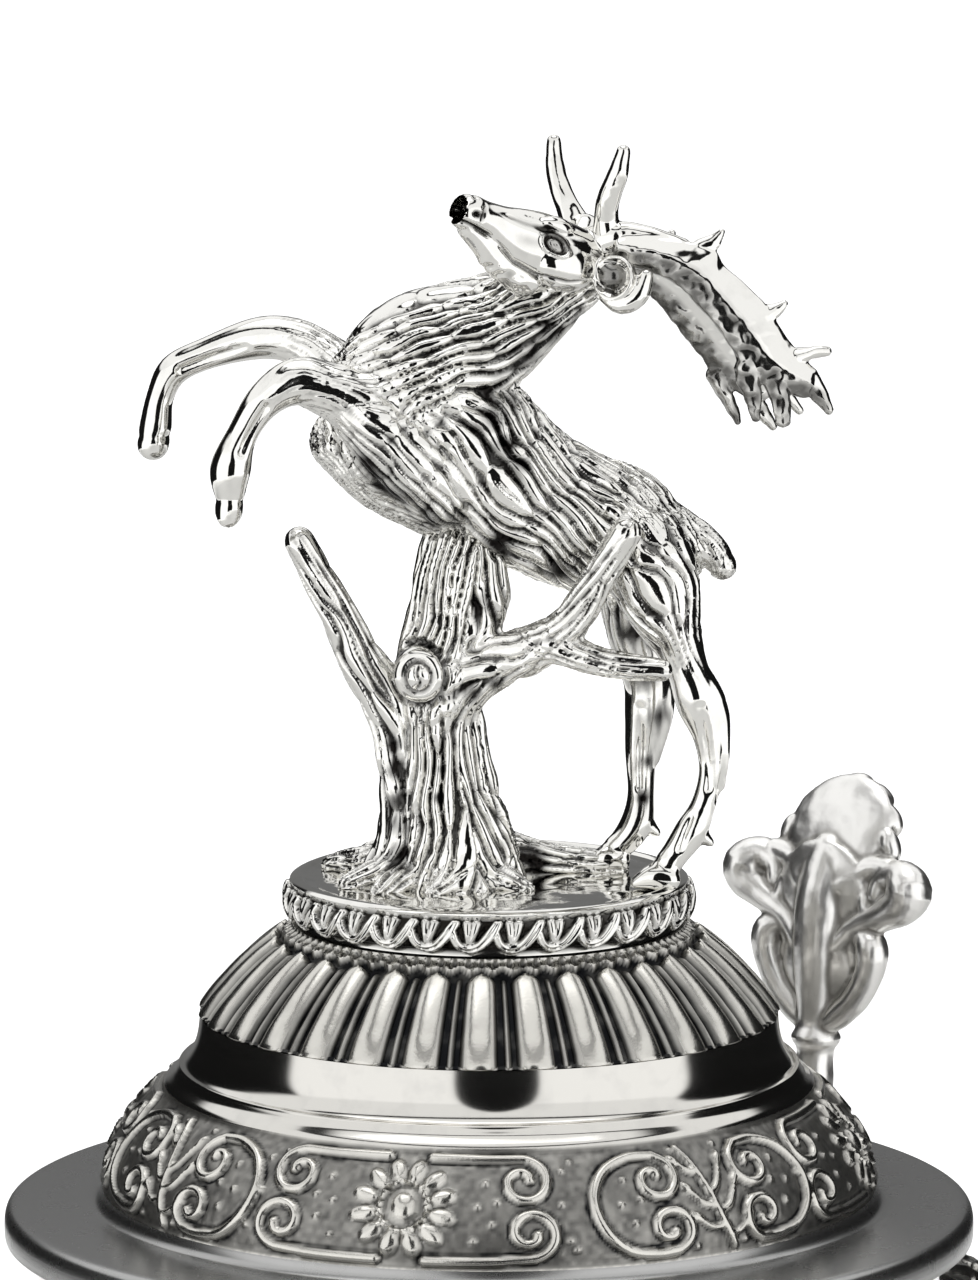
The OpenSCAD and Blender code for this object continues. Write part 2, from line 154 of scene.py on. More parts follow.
@dataclass(frozen=True)
class Metal:
    """A metal finish whose colour and gloss follow how far a spot was rubbed back; on some castings that value also
    carries painted shade.

    Attributes:
        name: The finish in a maker's words.
        high: Colour of the rubbed and polished high points.
        low: Colour of the recesses, where the patina or casting skin stays, and of painted shade.
        rough_high: Roughness of the high points.
        rough_low: Roughness of the recesses.
        turning_mm: Spacing of the lathe's marks, or 0 on a casting.
        grain_mm: Size of the casting's grain.
        grain_depth_mm: Depth of the grain or of the marks.
        hairs_mm: Spacing of fine hairs along the locks of a coat, or 0 for none.
    """

    name: str
    high: str
    low: str
    rough_high: float
    rough_low: float
    turning_mm: float = 0.0
    grain_mm: float = 0.35
    grain_depth_mm: float = 0.01
    hairs_mm: float = 0.0

    def build(self) -> bpy.types.Material:
        """Makes the material."""
        material = bpy.data.materials.new(self.name)
        add = empty_tree(material)
        place = add("TexCoord").outputs["Object"]
        # The rubbed value carries wear, and on some castings painted shade as well.
        rubbed = add("Attribute", {"attribute_name": "rubbed"}).outputs["Fac"]
        # Cloudy wear, a few millimetres across, keeps the rubbed edge from being even.
        cloud = add("TexNoise", {"Scale": 1 / (3.0 * MM), "Detail": 4.0}, {"Vector": place})
        uneven = add("Math", {"operation": "MULTIPLY_ADD", 1: 0.5, 2: -0.25},
                          {0: cloud.outputs["Fac"]})
        mask = add("Math", {"operation": "ADD", "use_clamp": True},
                        {0: rubbed, 1: uneven.outputs[0]})
        colour = add("Mix", {"data_type": "RGBA", 6: linear(self.low), 7: linear(self.high)},
                          {0: mask.outputs[0]})
        gloss = add("MapRange", {"To Min": self.rough_low, "To Max": self.rough_high},
                         {"Value": mask.outputs[0]})
        if self.turning_mm:
            # Marks run round the turning axis, so they vary only with radius and height.
            axis = add("SeparateXYZ", None, {0: place})
            flat = add("CombineXYZ", None, {0: axis.outputs[0], 1: axis.outputs[1]})
            radius = add("VectorMath", {"operation": "LENGTH"}, {0: flat.outputs[0]})
            pattern = add("CombineXYZ", None,
                               {0: radius.outputs["Value"], 1: axis.outputs[2]}).outputs[0]
            size = self.turning_mm
        else:
            pattern, size = place, self.grain_mm
        grain = add("TexNoise", {"Scale": 1 / (size * MM), "Detail": 3.0}, {"Vector": pattern})
        bump = add("Bump", {"Distance": self.grain_depth_mm * MM, "Strength": 1.0},
                        {"Height": grain.outputs["Fac"]})
        surface = bump.outputs[0]
        if self.hairs_mm:
            places = [add("Attribute", {"attribute_name": name}).outputs["Fac"]
                      for name in ("lock_across", "lock_along", "lock_depth")]
            spread = add("Math", {"operation": "MULTIPLY", 1: 1 / self.hairs_mm}, {0: places[0]})
            run = add("Math", {"operation": "MULTIPLY", 1: 0.35}, {0: places[1]})
            lock = add("CombineXYZ", None, {0: spread.outputs[0], 1: run.outputs[0]})
            hair = add("TexNoise", {"Scale": 1, "Detail": 2.0}, {"Vector": lock.outputs[0]})
            shown = add("Math", {"operation": "MULTIPLY"}, {0: hair.outputs["Fac"], 1: places[2]})
            surface = add("Bump", {"Distance": 0.016 * MM, "Strength": 1.0},
                               {"Height": shown.outputs[0], "Normal": surface}).outputs[0]
        shader = add("BsdfPrincipled", {"Metallic": 1.0},
                          {"Base Color": colour.outputs[2], "Roughness": gloss.outputs[0], "Normal": surface})
        add("OutputMaterial", None, {"Surface": shader.outputs[0]})
        return material


class Finishes:
    """The finishes of the tankard, built once."""

    def __init__(self) -> None:
        """Makes the materials."""
        # Turned and polished tin alloy: a soft grey mirror with the lathe's marks in it.
        self.turned = Metal("turned polished pewter", "#cfcdc8", "#77767a", 0.10, 0.2, turning_mm=0.35,
                            grain_depth_mm=0.0016).build()
        # Turned and left satin: broad tool marks, greyer.
        self.satin = Metal("satin turned pewter", "#a9a9a8", "#6b6b6c", 0.27, 0.34, turning_mm=0.5,
                           grain_depth_mm=0.006).build()
        # Cast, blackened, then rubbed back: dark recesses and pale worn ridges.
        self.cast = Metal("antiqued cast pewter", "#cdcbc5", "#1c1d1f", 0.20, 0.5, grain_mm=0.3,
                          grain_depth_mm=0.012).build()
        # Plated and polished casting: nearly a mirror, so it shows light and dark sharply.
        self.bright = Metal("polished silver-plated casting", "#e2e1dd", "#8d8b88", 0.045, 0.11, grain_mm=0.8,
                            grain_depth_mm=0.006).build()
        # The same plating over a combed coat or bark, with fine hairs in each lock; its dark colour also paints shade
        # in hollows.
        self.coat = Metal("silver-plated coat and bark", "#e6e5e1", "#1d1b1a", 0.06, 0.3, grain_mm=0.8,
                          grain_depth_mm=0.006, hairs_mm=0.25).build()
        # The same plating where the chaser's cuts have kept their black; the same dark colour also paints shade on
        # the antlers and in the near ear.
        self.chased = Metal("silver-plated chased casting", "#e4e3df", "#24221f", 0.05, 0.25, grain_mm=0.9,
                            grain_depth_mm=0.007).build()
        # Turned and cast fittings, evenly worn.
        self.fitting = Metal("satin pewter fitting", "#aeaca8", "#a3a19d", 0.24, 0.28, grain_mm=0.4,
                             grain_depth_mm=0.004).build()
        # The thumb lift: pale and satin, touched by every hand.
        self.worn = Metal("pale worn casting", "#efeeeb", "#a6a4a0", 0.3, 0.48, grain_mm=0.5,
                          grain_depth_mm=0.012).build()
        # Drawn and machined steel for the fixings.
        self.steel = Metal("machined steel", "#9a9b9d", "#6f7072", 0.3, 0.4, grain_mm=0.4).build()


# ---- numbers that repeat without repeating

def ramp(value: Array, start: float, span: float) -> Array:
    """Rises from 0 at the start to 1 a span later."""
    return np.clip((value - start) / span, 0, 1)


def bell(value: Array, middle: float, width: float) -> Array:
    """Rises to 1 at the middle and dies away on both sides."""
    return np.exp(-((value - middle) / width) ** 2)


def polar(radius: float, degrees: float) -> tuple[float, float]:
    """Gives the X and Y of a radius at an angle."""
    return radius * math.cos(math.radians(degrees)), radius * math.sin(math.radians(degrees))


def arc(centre: Point, radius: float, degrees: Sequence[float]) -> list[Point]:
    """Gives the points of an arc at its angles."""
    return [(centre[0] + x, centre[1] + y) for x, y in (polar(radius, a) for a in degrees)]


def lattice(column: Array, row: Array, seed: int) -> Array:
    """Gives each whole-number cell a fixed value.

    Args:
        column: Whole-number places across.
        row: Whole-number places along.
        seed: Chooses the pattern.

    Returns:
        Values from 0 to 1.
    """
    n = (column.astype(np.int64) * 374761393 + row.astype(np.int64) * 668265263 + seed * 974634777) & 0xFFFFFFFF
    n = ((n ^ (n >> 13)) * 1274126177) & 0xFFFFFFFF
    return ((n ^ (n >> 16)) & 0xFFFF) / 65535.0


def cloud(x: Array, y: Array, seed: int) -> Array:
    """Makes smooth noise with features one unit across.

    Args:
        x: Places across.
        y: Places along.
        seed: Chooses the pattern.

    Returns:
        Values from 0 to 1.
    """
    column, row = np.floor(x), np.floor(y)
    fx, fy = x - column, y - row
    fx, fy = fx * fx * (3 - 2 * fx), fy * fy * (3 - 2 * fy)
    low = lattice(column, row, seed) * (1 - fx) + lattice(column + 1, row, seed) * fx
    high = lattice(column, row + 1, seed) * (1 - fx) + lattice(column + 1, row + 1, seed) * fx
    return low * (1 - fy) + high * fy


def strands(across: Array, along: Array, length: float, seed: int) -> Array:
    """Height from 0 to 1 of long pointed locks that overlap, as in a cast coat or bark.

    Args:
        across: Place across the locks, in lock widths.
        along: Place along the locks, in millimetres.
        length: Length of a lock, in millimetres.
        seed: Chooses the pattern.

    Returns:
        The height at each place.
    """
    down = along / length
    # The locks wander, meet and part.
    broad, fine = cloud(across * 0.34, down * 1.2, seed), cloud(across * 0.8, down * 2.6, seed + 1)
    phase = across + (broad - 0.5) * 1.5 + (fine - 0.5) * 0.4
    column = np.floor(phase)
    off = np.abs(phase - column - 0.5) * 2
    # Each lock swells and thins out to a point along its own length.
    mine = down * 1.25 + lattice(column, np.zeros_like(column), seed + 2) * 5
    part = mine - np.floor(mine)
    chance = lattice(column, np.floor(mine), seed + 3)
    full = np.clip(np.sin(np.pi * np.clip(part, 0, 1)) * 1.7, 0, 1) ** 0.6
    width = 0.42 + (0.42 + 0.14 * chance) * full
    lock = np.clip(1 - (off / width) ** 2, 0, 1) ** 0.5 * (0.5 + 0.5 * full) * (0.75 + 0.25 * chance)
    # A finer split runs down the back of the broad ones.
    split = 1 - 0.16 * bell(off, 0.18, 0.12) * (chance > 0.6) * full
    # Bundles of locks stand out from each other.
    bundle = cloud(across * 0.3 + 7, down * 0.9, seed + 4)
    return np.clip(lock * split * (0.7 + 0.45 * bundle), 0, 1)


# ---- outlines and turned work

@dataclass
class Run:
    """A stretch of an outline.

    Attributes:
        points: Corners as (radius, height) in millimetres.
        spacing: Distance between the rows of the finished mesh, in millimetres.
        fair: True to run a smooth curve through the points, False for straight lines between them.
    """

    points: Line
    spacing: float = 0.6
    fair: bool = True


def fair_line(points: Array, spacing: float, curved: bool = True) -> Array:
    """Runs an even line through points of any dimension.

    Args:
        points: One row to a point.
        spacing: Wanted distance between the points that come back.
        curved: True for a smooth curve through the points, False for straight lines.

    Returns:
        Points along the line, the first and last kept.
    """
    points = np.asarray(points, float)
    if curved and len(points) > 2:
        padded = np.vstack([2 * points[0] - points[1], points, 2 * points[-1] - points[-2]])
        dense = []
        for a, b, c, d in zip(padded, padded[1:], padded[2:], padded[3:]):
            for t in np.linspace(0, 1, 16, endpoint=False):
                dense.append(0.5 * (2 * b + (c - a) * t + (2 * a - 5 * b + 4 * c - d) * t ** 2
                                    + (3 * b - a - 3 * c + d) * t ** 3))
        points = np.vstack([dense, points[-1]])
    steps = np.r_[0, np.cumsum(norm(np.diff(points[:, :3], axis=0), axis=1))]
    count = max(1, round(steps[-1] / spacing))
    wanted = np.linspace(0, steps[-1], count + 1)
    return np.column_stack([np.interp(wanted, steps, points[:, k]) for k in range(points.shape[1])])


@dataclass
class Outline:
    """A closed outline made of runs, with the place of every row in its run.

    Each run after the first starts where the one before it ends.
    """

    runs: Sequence[Run]
    rows: Array = field(init=False)
    run_of: Array = field(init=False)
    along: Array = field(init=False)

    def __post_init__(self) -> None:
        """Lays out the rows."""
        rows, run_of, along = [], [], []
        points = []
        for number, run in enumerate(self.runs):
            points = [*points[-1:], *run.points]
            line = fair_line(np.array(points, float), run.spacing, run.fair)
            steps = np.r_[0, np.cumsum(norm(np.diff(line, axis=0), axis=1))]
            keep = slice(0 if number == 0 else 1, None)
            rows.append(line[keep])
            run_of.append(np.full(len(line[keep]), number))
            along.append(steps[keep])
        self.rows, self.run_of, self.along = np.vstack(rows), np.concatenate(run_of), np.concatenate(along)

    def length(self, run: int) -> float:
        """Length of a run along its curve."""
        return float(self.along[self.run_of == run].max())


def turn(outline: Outline, steps: int, lift: Optional[Callable] = None) -> Mesh:
    """Turns an outline about +Z as a dense, even mesh, and lifts its surface by a height field.

    Args:
        outline: Closed outline, anticlockwise when seen with the radius to the right.
        steps: Divisions round the axis.
        lift: Called with run numbers, places along the run and angles; gives heights in millimetres and
            how far each spot is rubbed back, from 0 to 1.

    Returns:
        A mesh in millimetres with a "rubbed" attribute.
    """
    rows = outline.rows
    work = bmesh.new()
    bmesh.ops.create_grid(work, x_segments=steps, y_segments=len(rows) - 1, size=1.0)
    mesh = finished(work, "turned")
    place = read_points(mesh)
    step = np.rint((place[:, 0] + 1) / 2 * steps).astype(int)
    row = np.rint((place[:, 1] + 1) / 2 * (len(rows) - 1)).astype(int)
    angle = (step % steps) * (2 * np.pi / steps)
    ahead = rows[np.minimum(row + 1, len(rows) - 1)] - rows[np.maximum(row - 1, 0)]
    outward = np.column_stack([ahead[:, 1], -ahead[:, 0]])
    outward /= np.maximum(norm(outward, axis=1, keepdims=True), 1e-9)
    height, rubbed = np.zeros(len(row)), np.ones(len(row))
    if lift is not None:
        height, rubbed = lift(outline.run_of[row], outline.along[row], angle)
    radius = rows[row, 0] + outward[:, 0] * height
    rise = rows[row, 1] + outward[:, 1] * height
    write_points(mesh, np.column_stack([radius * np.cos(angle), radius * np.sin(angle), rise]))
    write_wear_and_painted_shade(mesh, rubbed)
    work = bmesh.new()
    work.from_mesh(mesh)
    bmesh.ops.remove_doubles(work, verts=work.verts, dist=0.002)
    bmesh.ops.recalc_face_normals(work, faces=work.faces)
    work.to_mesh(mesh)
    work.free()
    return mesh


def finished(work: Forms, name: str = "forms") -> Mesh:
    """Turns modelled forms into a mesh and frees them."""
    mesh = bpy.data.meshes.new(name)
    work.to_mesh(mesh)
    work.free()
    return mesh


def join(work: Forms, mesh: Mesh) -> None:
    """Adds a mesh to the forms and lets the mesh go."""
    work.from_mesh(mesh)
    bpy.data.meshes.remove(mesh)


def read_points(mesh: Mesh, normals: bool = False) -> Array:
    """Gives a mesh's points, or their normals, as an array."""
    flat = np.empty(len(mesh.vertices) * 3, np.float32)
    (mesh.vertex_normals if normals else mesh.vertices).foreach_get("vector" if normals else "co", flat)
    return flat.reshape(-1, 3).astype(float)


def write_points(mesh: Mesh, points: Array) -> None:
    """Sets a mesh's points from an array."""
    mesh.vertices.foreach_set("co", np.ascontiguousarray(points, np.float32).ravel())
    mesh.update()


def push(mesh: Mesh, depth: Array) -> None:
    """Moves each point of a mesh along its normal."""
    write_points(mesh, read_points(mesh) + read_points(mesh, True) * depth[:, None])


def write_values(mesh: Mesh, name: str, values: Array) -> None:
    """Stores a value at each point, which the finishes read."""
    layer = mesh.attributes.get(name) or mesh.attributes.new(name, "FLOAT", "POINT")
    layer.data.foreach_set("value", values.astype(np.float32))


def write_wear_and_painted_shade(mesh: Mesh, rubbed: Array) -> None:
    """Stores how far each spot is rubbed back, from 0 to 1; low values also carry painted shade on some castings."""
    write_values(mesh, "rubbed", np.clip(rubbed, 0, 1))


def hand_over(mesh: Mesh, name: str, body: Body, finish: bpy.types.Material,
              stands_for: Sequence[str] = (), move: Optional[Matrix] = None, sharp: float = 50) -> bpy.types.Object:
    """Makes a finished mesh into a piece of the tankard.

    Args:
        mesh: Mesh in millimetres.
        name: The piece's name.
        body: The body it rides on.
        finish: Its material.
        stands_for: CAD nodes that it replaces.
        move: Where its own frame is, in millimetres.
        sharp: Edges turned by more than this many degrees stay crisp.

    Returns:
        The piece.
    """
    mesh.name = name
    if move is not None:
        mesh.transform(move)
    mesh.transform(Matrix.Scale(MM, 4))
    if mesh.attributes.get("rubbed") is None:
        write_wear_and_painted_shade(mesh, np.ones(len(mesh.vertices)))
    mesh.materials.clear()
    mesh.materials.append(finish)
    mesh.polygons.foreach_set("use_smooth", [True] * len(mesh.polygons))
    mesh.set_sharp_from_angle(angle=math.radians(sharp))
    piece = bpy.data.objects.new(name, mesh)
    bpy.context.scene.collection.objects.link(piece)
    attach(piece, body.value)
    for node in stands_for:
        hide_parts(node)
    LOG.info("%s: %d faces on %s", name, len(mesh.polygons), body.value)
    return piece


AT_LID = Matrix.Translation((0, 0, LID_Z))
AT_FINIAL = Matrix.Translation((0, 0, GROUND_Z)) @ Matrix.Rotation(math.radians(FINIAL_TURN), 4, "Z")


# ---- relief work

@dataclass
class Relief:
    """Raised ornament on a flat sheet of points, built up from strokes, bosses and beads.

    Attributes:
        u: Place of each point along the band, in millimetres from the ornament's centre.
        v: Place of each point across the band, in millimetres.
        height: Height reached so far.
    """

    u: Array
    v: Array
    height: Array = field(init=False)

    def __post_init__(self) -> None:
        """Starts from a flat sheet."""
        self.height = np.zeros_like(self.u)

    def near(self, low: Point, high: Point) -> Array:
        """Numbers of the points inside a rectangle."""
        return np.flatnonzero((self.u > low[0]) & (self.u < high[0]) & (self.v > low[1]) & (self.v < high[1]))

    def stroke(self, line: Array, half: Union[float, Sequence[float]], rise: float) -> None:
        """Raises a round-backed ribbon along a line, with a fine groove beside it.

        Args:
            line: Points of the line.
            half: Half width, or its value at the start and at the end.
            rise: Height of the ribbon's back.
        """
        widths = np.linspace(*(half if isinstance(half, (tuple, list)) else (half, half)), len(line))
        reach = widths.max() * 1.9
        index = self.near(line.min(0) - reach, line.max(0) + reach)
        u, v = self.u[index], self.v[index]
        nearest, width = np.full(len(index), 1e9), np.full(len(index), widths[0])
        for a, b, wa, wb in zip(line, line[1:], widths, widths[1:]):
            span = b - a
            t = np.clip(((u - a[0]) * span[0] + (v - a[1]) * span[1]) / max(span @ span, 1e-9), 0, 1)
            gap = np.hypot(u - a[0] - t * span[0], v - a[1] - t * span[1])
            closer = gap < nearest
            nearest = np.where(closer, gap, nearest)
            width = np.where(closer, wa + (wb - wa) * t, width)
        ratio = nearest / width
        ridge = rise * np.sqrt(np.clip(1 - ratio ** 2, 0, 1))
        groove = -0.16 * rise * np.clip(1 - np.abs(ratio - 1.35) / 0.5, 0, 1) * (ratio > 1)
        here = self.height[index]
        beside = np.where(here > 0.02, here, np.minimum(here, groove))
        self.height[index] = np.where(ratio < 1, np.maximum(here, ridge), beside)

    def boss(self, centre: Point, size: Point, rise: float, turned: float = 0, power: float = 0.5) -> None:
        """Raises an oval dome.

        Args:
            centre: Its centre.
            size: Its half axes.
            rise: Its height.
            turned: Angle of the first half axis, in degrees.
            power: 0.5 for a round dome, less for a flatter one.
        """
        reach = max(size)
        index = self.near((centre[0] - reach, centre[1] - reach), (centre[0] + reach, centre[1] + reach))
        du, dv = self.u[index] - centre[0], self.v[index] - centre[1]
        c, s = polar(1, turned)
        ratio = ((du * c + dv * s) / size[0]) ** 2 + ((dv * c - du * s) / size[1]) ** 2
        dome = rise * np.clip(1 - ratio, 0, 1) ** power
        self.height[index] = np.where(ratio < 1, np.maximum(self.height[index], dome), self.height[index])


def spiral(centre: Point, outer: float, inner: float, start: float, sweep: float, count: int = 40) -> Array:
    """Points of a spiral that winds in.

    Args:
        centre: Its centre.
        outer: Radius where it starts.
        inner: Radius where it ends.
        start: Angle where it starts, in degrees.
        sweep: Angle it turns through; negative is clockwise.
        count: Number of points.

    Returns:
        The points from the outside in.
    """
    t = np.linspace(0, 1, count)
    angle = np.radians(start + sweep * t)
    radius = inner + (outer - inner) * (1 - t) ** 0.85
    return np.column_stack([centre[0] + radius * np.cos(angle), centre[1] + radius * np.sin(angle)])


class Motif(Enum):
    """The two ornaments that take turns round a band."""

    SUNFLOWER = "sunflower between paired scrolls"
    SPRIG = "sprig between facing scrolls"


@dataclass
class OrnamentBand:
    """A rolled band of sunflower and sprig ornaments.

    Attributes:
        radius: Radius at which the ornaments are laid out, in millimetres.
        width: Width of the band across its curve.
        flowers: Directions of the sunflowers in degrees.
        sprigs: Directions of the sprigs in degrees.
        rise: Height of the relief.
        size: Scale of the ornaments; 1 suits a band 13.8 mm wide.
    """

    radius: float
    width: float
    flowers: Sequence[float]
    sprigs: Sequence[float]
    rise: float = 0.62
    size: float = 1.0

    PITCH_OF_STIPPLE = 0.55
    DESIGN_WIDTH = 13.8

    def heights(self, angle: Array, across: Array) -> Lifted:
        """Gives the relief at each point.

        Args:
            angle: Direction of each point from the axis, in radians.
            across: Place of each point across the band, in millimetres.

        Returns:
            Heights in millimetres, and how far each spot is rubbed back.
        """
        v = across / self.width * self.DESIGN_WIDTH
        height = np.zeros_like(v)
        for motif, places in ((Motif.SUNFLOWER, self.flowers), (Motif.SPRIG, self.sprigs)):
            for place in places:
                off = (angle - math.radians(place) + np.pi) % (2 * np.pi) - np.pi
                u = off * self.radius / self.size
                index = np.flatnonzero(np.abs(u) < 19)
                sheet = Relief(u[index], v[index])
                (self.sunflower if motif is Motif.SUNFLOWER else self.sprig)(sheet)
                new = sheet.height
                old = height[index]
                height[index] = np.where(np.abs(new) > np.abs(old), new, old)
        arc = angle * self.radius
        stipple = cloud(arc / self.PITCH_OF_STIPPLE, across / self.PITCH_OF_STIPPLE, 5)
        fine = cloud(arc / 0.3, across / 0.3, 6)
        raised = np.clip(height / 0.5, 0, 1)
        ground = (stipple - 0.5) * 0.045 + (fine - 0.5) * 0.025
        edge = np.clip(np.minimum(v, self.DESIGN_WIDTH - v) / 0.5, 0, 1)
        total = self.rise * height + ground * (1 - raised) * edge
        low = np.clip(-height * 3, 0, 1)
        rubbed = np.clip(0.34 + 0.85 * height + (stipple - 0.5) * 0.25 * (1 - raised) - 0.45 * low, 0, 1)
        worn_edge = np.where(edge < 1, np.maximum(rubbed, 0.8 * (1 - edge)), rubbed)
        return total * np.clip(edge * 1.5, 0, 1) - 0.25 * edge, worn_edge

    def lift(self, number: int) -> Callable[[Array, Array, Array], Lifted]:
        """Makes the lift of a turned piece that carries the band.

        Args:
            number: The run of its outline that carries it.

        Returns:
            What turn calls for heights and rubbing.
        """
        def lift(run: Array, along: Array, angle: Array) -> Lifted:
            """Raises the band on its run and leaves the rest flat and polished."""
            height, rubbed = np.zeros(len(run)), np.ones(len(run))
            front = run == number
            height[front], rubbed[front] = self.heights(angle[front], along[front])
            return height, rubbed

        return lift

    @staticmethod
    def both_sides(sheet: Relief, lines: Sequence[Array], half: Point, rise: float, knob: float, beads: Line) -> None:
        """Lays scrolls that end in a knob, and round beads, on both sides of an ornament.

        Args:
            sheet: Sheet to raise.
            lines: The scrolls on one side, from the stem to the curled end.
            half: Half width of the ribbon at its start and at its end.
            rise: Height of the ribbon.
            knob: Radius of the knob.
            beads: Centres of the beads on one side.
        """
        for side in (-1, 1):
            for line in lines:
                line = line * (side, 1)
                sheet.stroke(line, half, rise)
                sheet.boss(line[-1], (knob, knob), rise - 0.1)
            for u, v in beads:
                sheet.boss((side * u, v), (0.42, 0.42), 0.55)

    def sunflower(self, sheet: Relief) -> None:
        """Raises an oval boss in a rope ring with petals, between two pairs of scrolls.

        Args:
            sheet: Sheet to raise.
        """
        middle, petals, ropes = 6.8, 12, 22
        for k in range(petals):
            turned = 360 * k / petals + 15
            c, s = polar(1, turned)
            sheet.boss((4.25 * c, middle + 4.25 * s), (1.5, 0.95), 0.85, turned, 0.45)
            sheet.stroke(np.array([[3.2 * c, middle + 3.2 * s], [5.2 * c, middle + 5.2 * s]]), (0.34, 0.2), 1)
        for k in range(ropes):
            turned = 360 * k / ropes
            c, s = polar(1, turned)
            sheet.boss((2.5 * c, middle + 2.75 * s), (0.46, 0.27), 0.95, turned + 52)
        sheet.boss((0, middle), (1.75, 2.05), 0.35, power=0.2)
        sheet.boss((0, middle), (1.25, 1.6), 1.25)
        top = np.vstack([[[2.5, 12.75], [6, 12.7], [9, 12.6]], spiral((12.4, 9.7), 2.9, 0.75, 90, -430)])
        low = np.vstack([[[2.5, 0.95], [6, 0.95], [9.4, 1]], spiral((12.9, 4), 2.8, 0.75, 270, 430)])
        self.both_sides(sheet, [fair_line(top, 0.35), fair_line(low, 0.35)], (0.56, 0.5), 0.9, 0.55,
                        [(7.6, 6.9), (9, 5), (8.4, 9.6), (9.6, 7.4), (7.2, 3.2), (16.2, 7), (16.6, 10.9),
                         (16.8, 3)])

    def sprig(self, sheet: Relief) -> None:
        """Raises a leafy stem between two C-scrolls that face each other.

        Args:
            sheet: Sheet to raise.
        """
        back = fair_line(np.array([[5.6, 12], [8.6, 12.1], [11.8, 10.6], [13.4, 7.4], [12.7, 4], [10.4, 1.6],
                                   [7.4, 0.95], [5, 1.1]]), 0.4)
        for side in (-1, 1):
            sheet.stroke(back * (side, 1), (0.56, 0.6), 0.95)
        head, foot = spiral((6.3, 9.15), 2.85, 0.7, 90, 400)[2:], spiral((5.7, 3.6), 2.6, 0.7, 270, -400)[2:]
        self.both_sides(sheet, [head, foot], (0.56, 0.48), 0.95, 0.6,
                        [(9.8, 9.4), (10.6, 6.6), (9.4, 4.4), (8.4, 7), (15.4, 12), (15.6, 2), (2.9, 1.2),
                         (3, 12.4)])
        stem = fair_line(np.array([[-2.3, 12.6], [-1.2, 10.2], [-0.3, 7], [0.3, 4], [1.5, 0.9]]), 0.4)
        sheet.stroke(stem, (0.42, 0.54), 0.8)
        for start, end, bend in (((0.2, 4.6), (3.3, 7.8), 0.9), ((-0.3, 6.6), (2.4, 10.6), 0.8),
                                 ((0.1, 5.4), (-2.9, 7.6), -0.8), ((0.6, 3.2), (-2.6, 4.3), -0.7),
                                 ((-1, 9.4), (-3.4, 11), -0.5), ((0.9, 2.2), (3.6, 3.6), 0.6)):
            middle = ((start[0] + end[0]) / 2, (start[1] + end[1]) / 2 - abs(bend))
            sheet.stroke(fair_line(np.array([start, middle, end]), 0.3), (0.44, 0.3), 0.7)
            turned = math.degrees(math.atan2(end[1] - middle[1], end[0] - middle[0]))
            sheet.boss(end, (1.1, 0.56), 0.85, turned, 0.6)


# ---- the lid

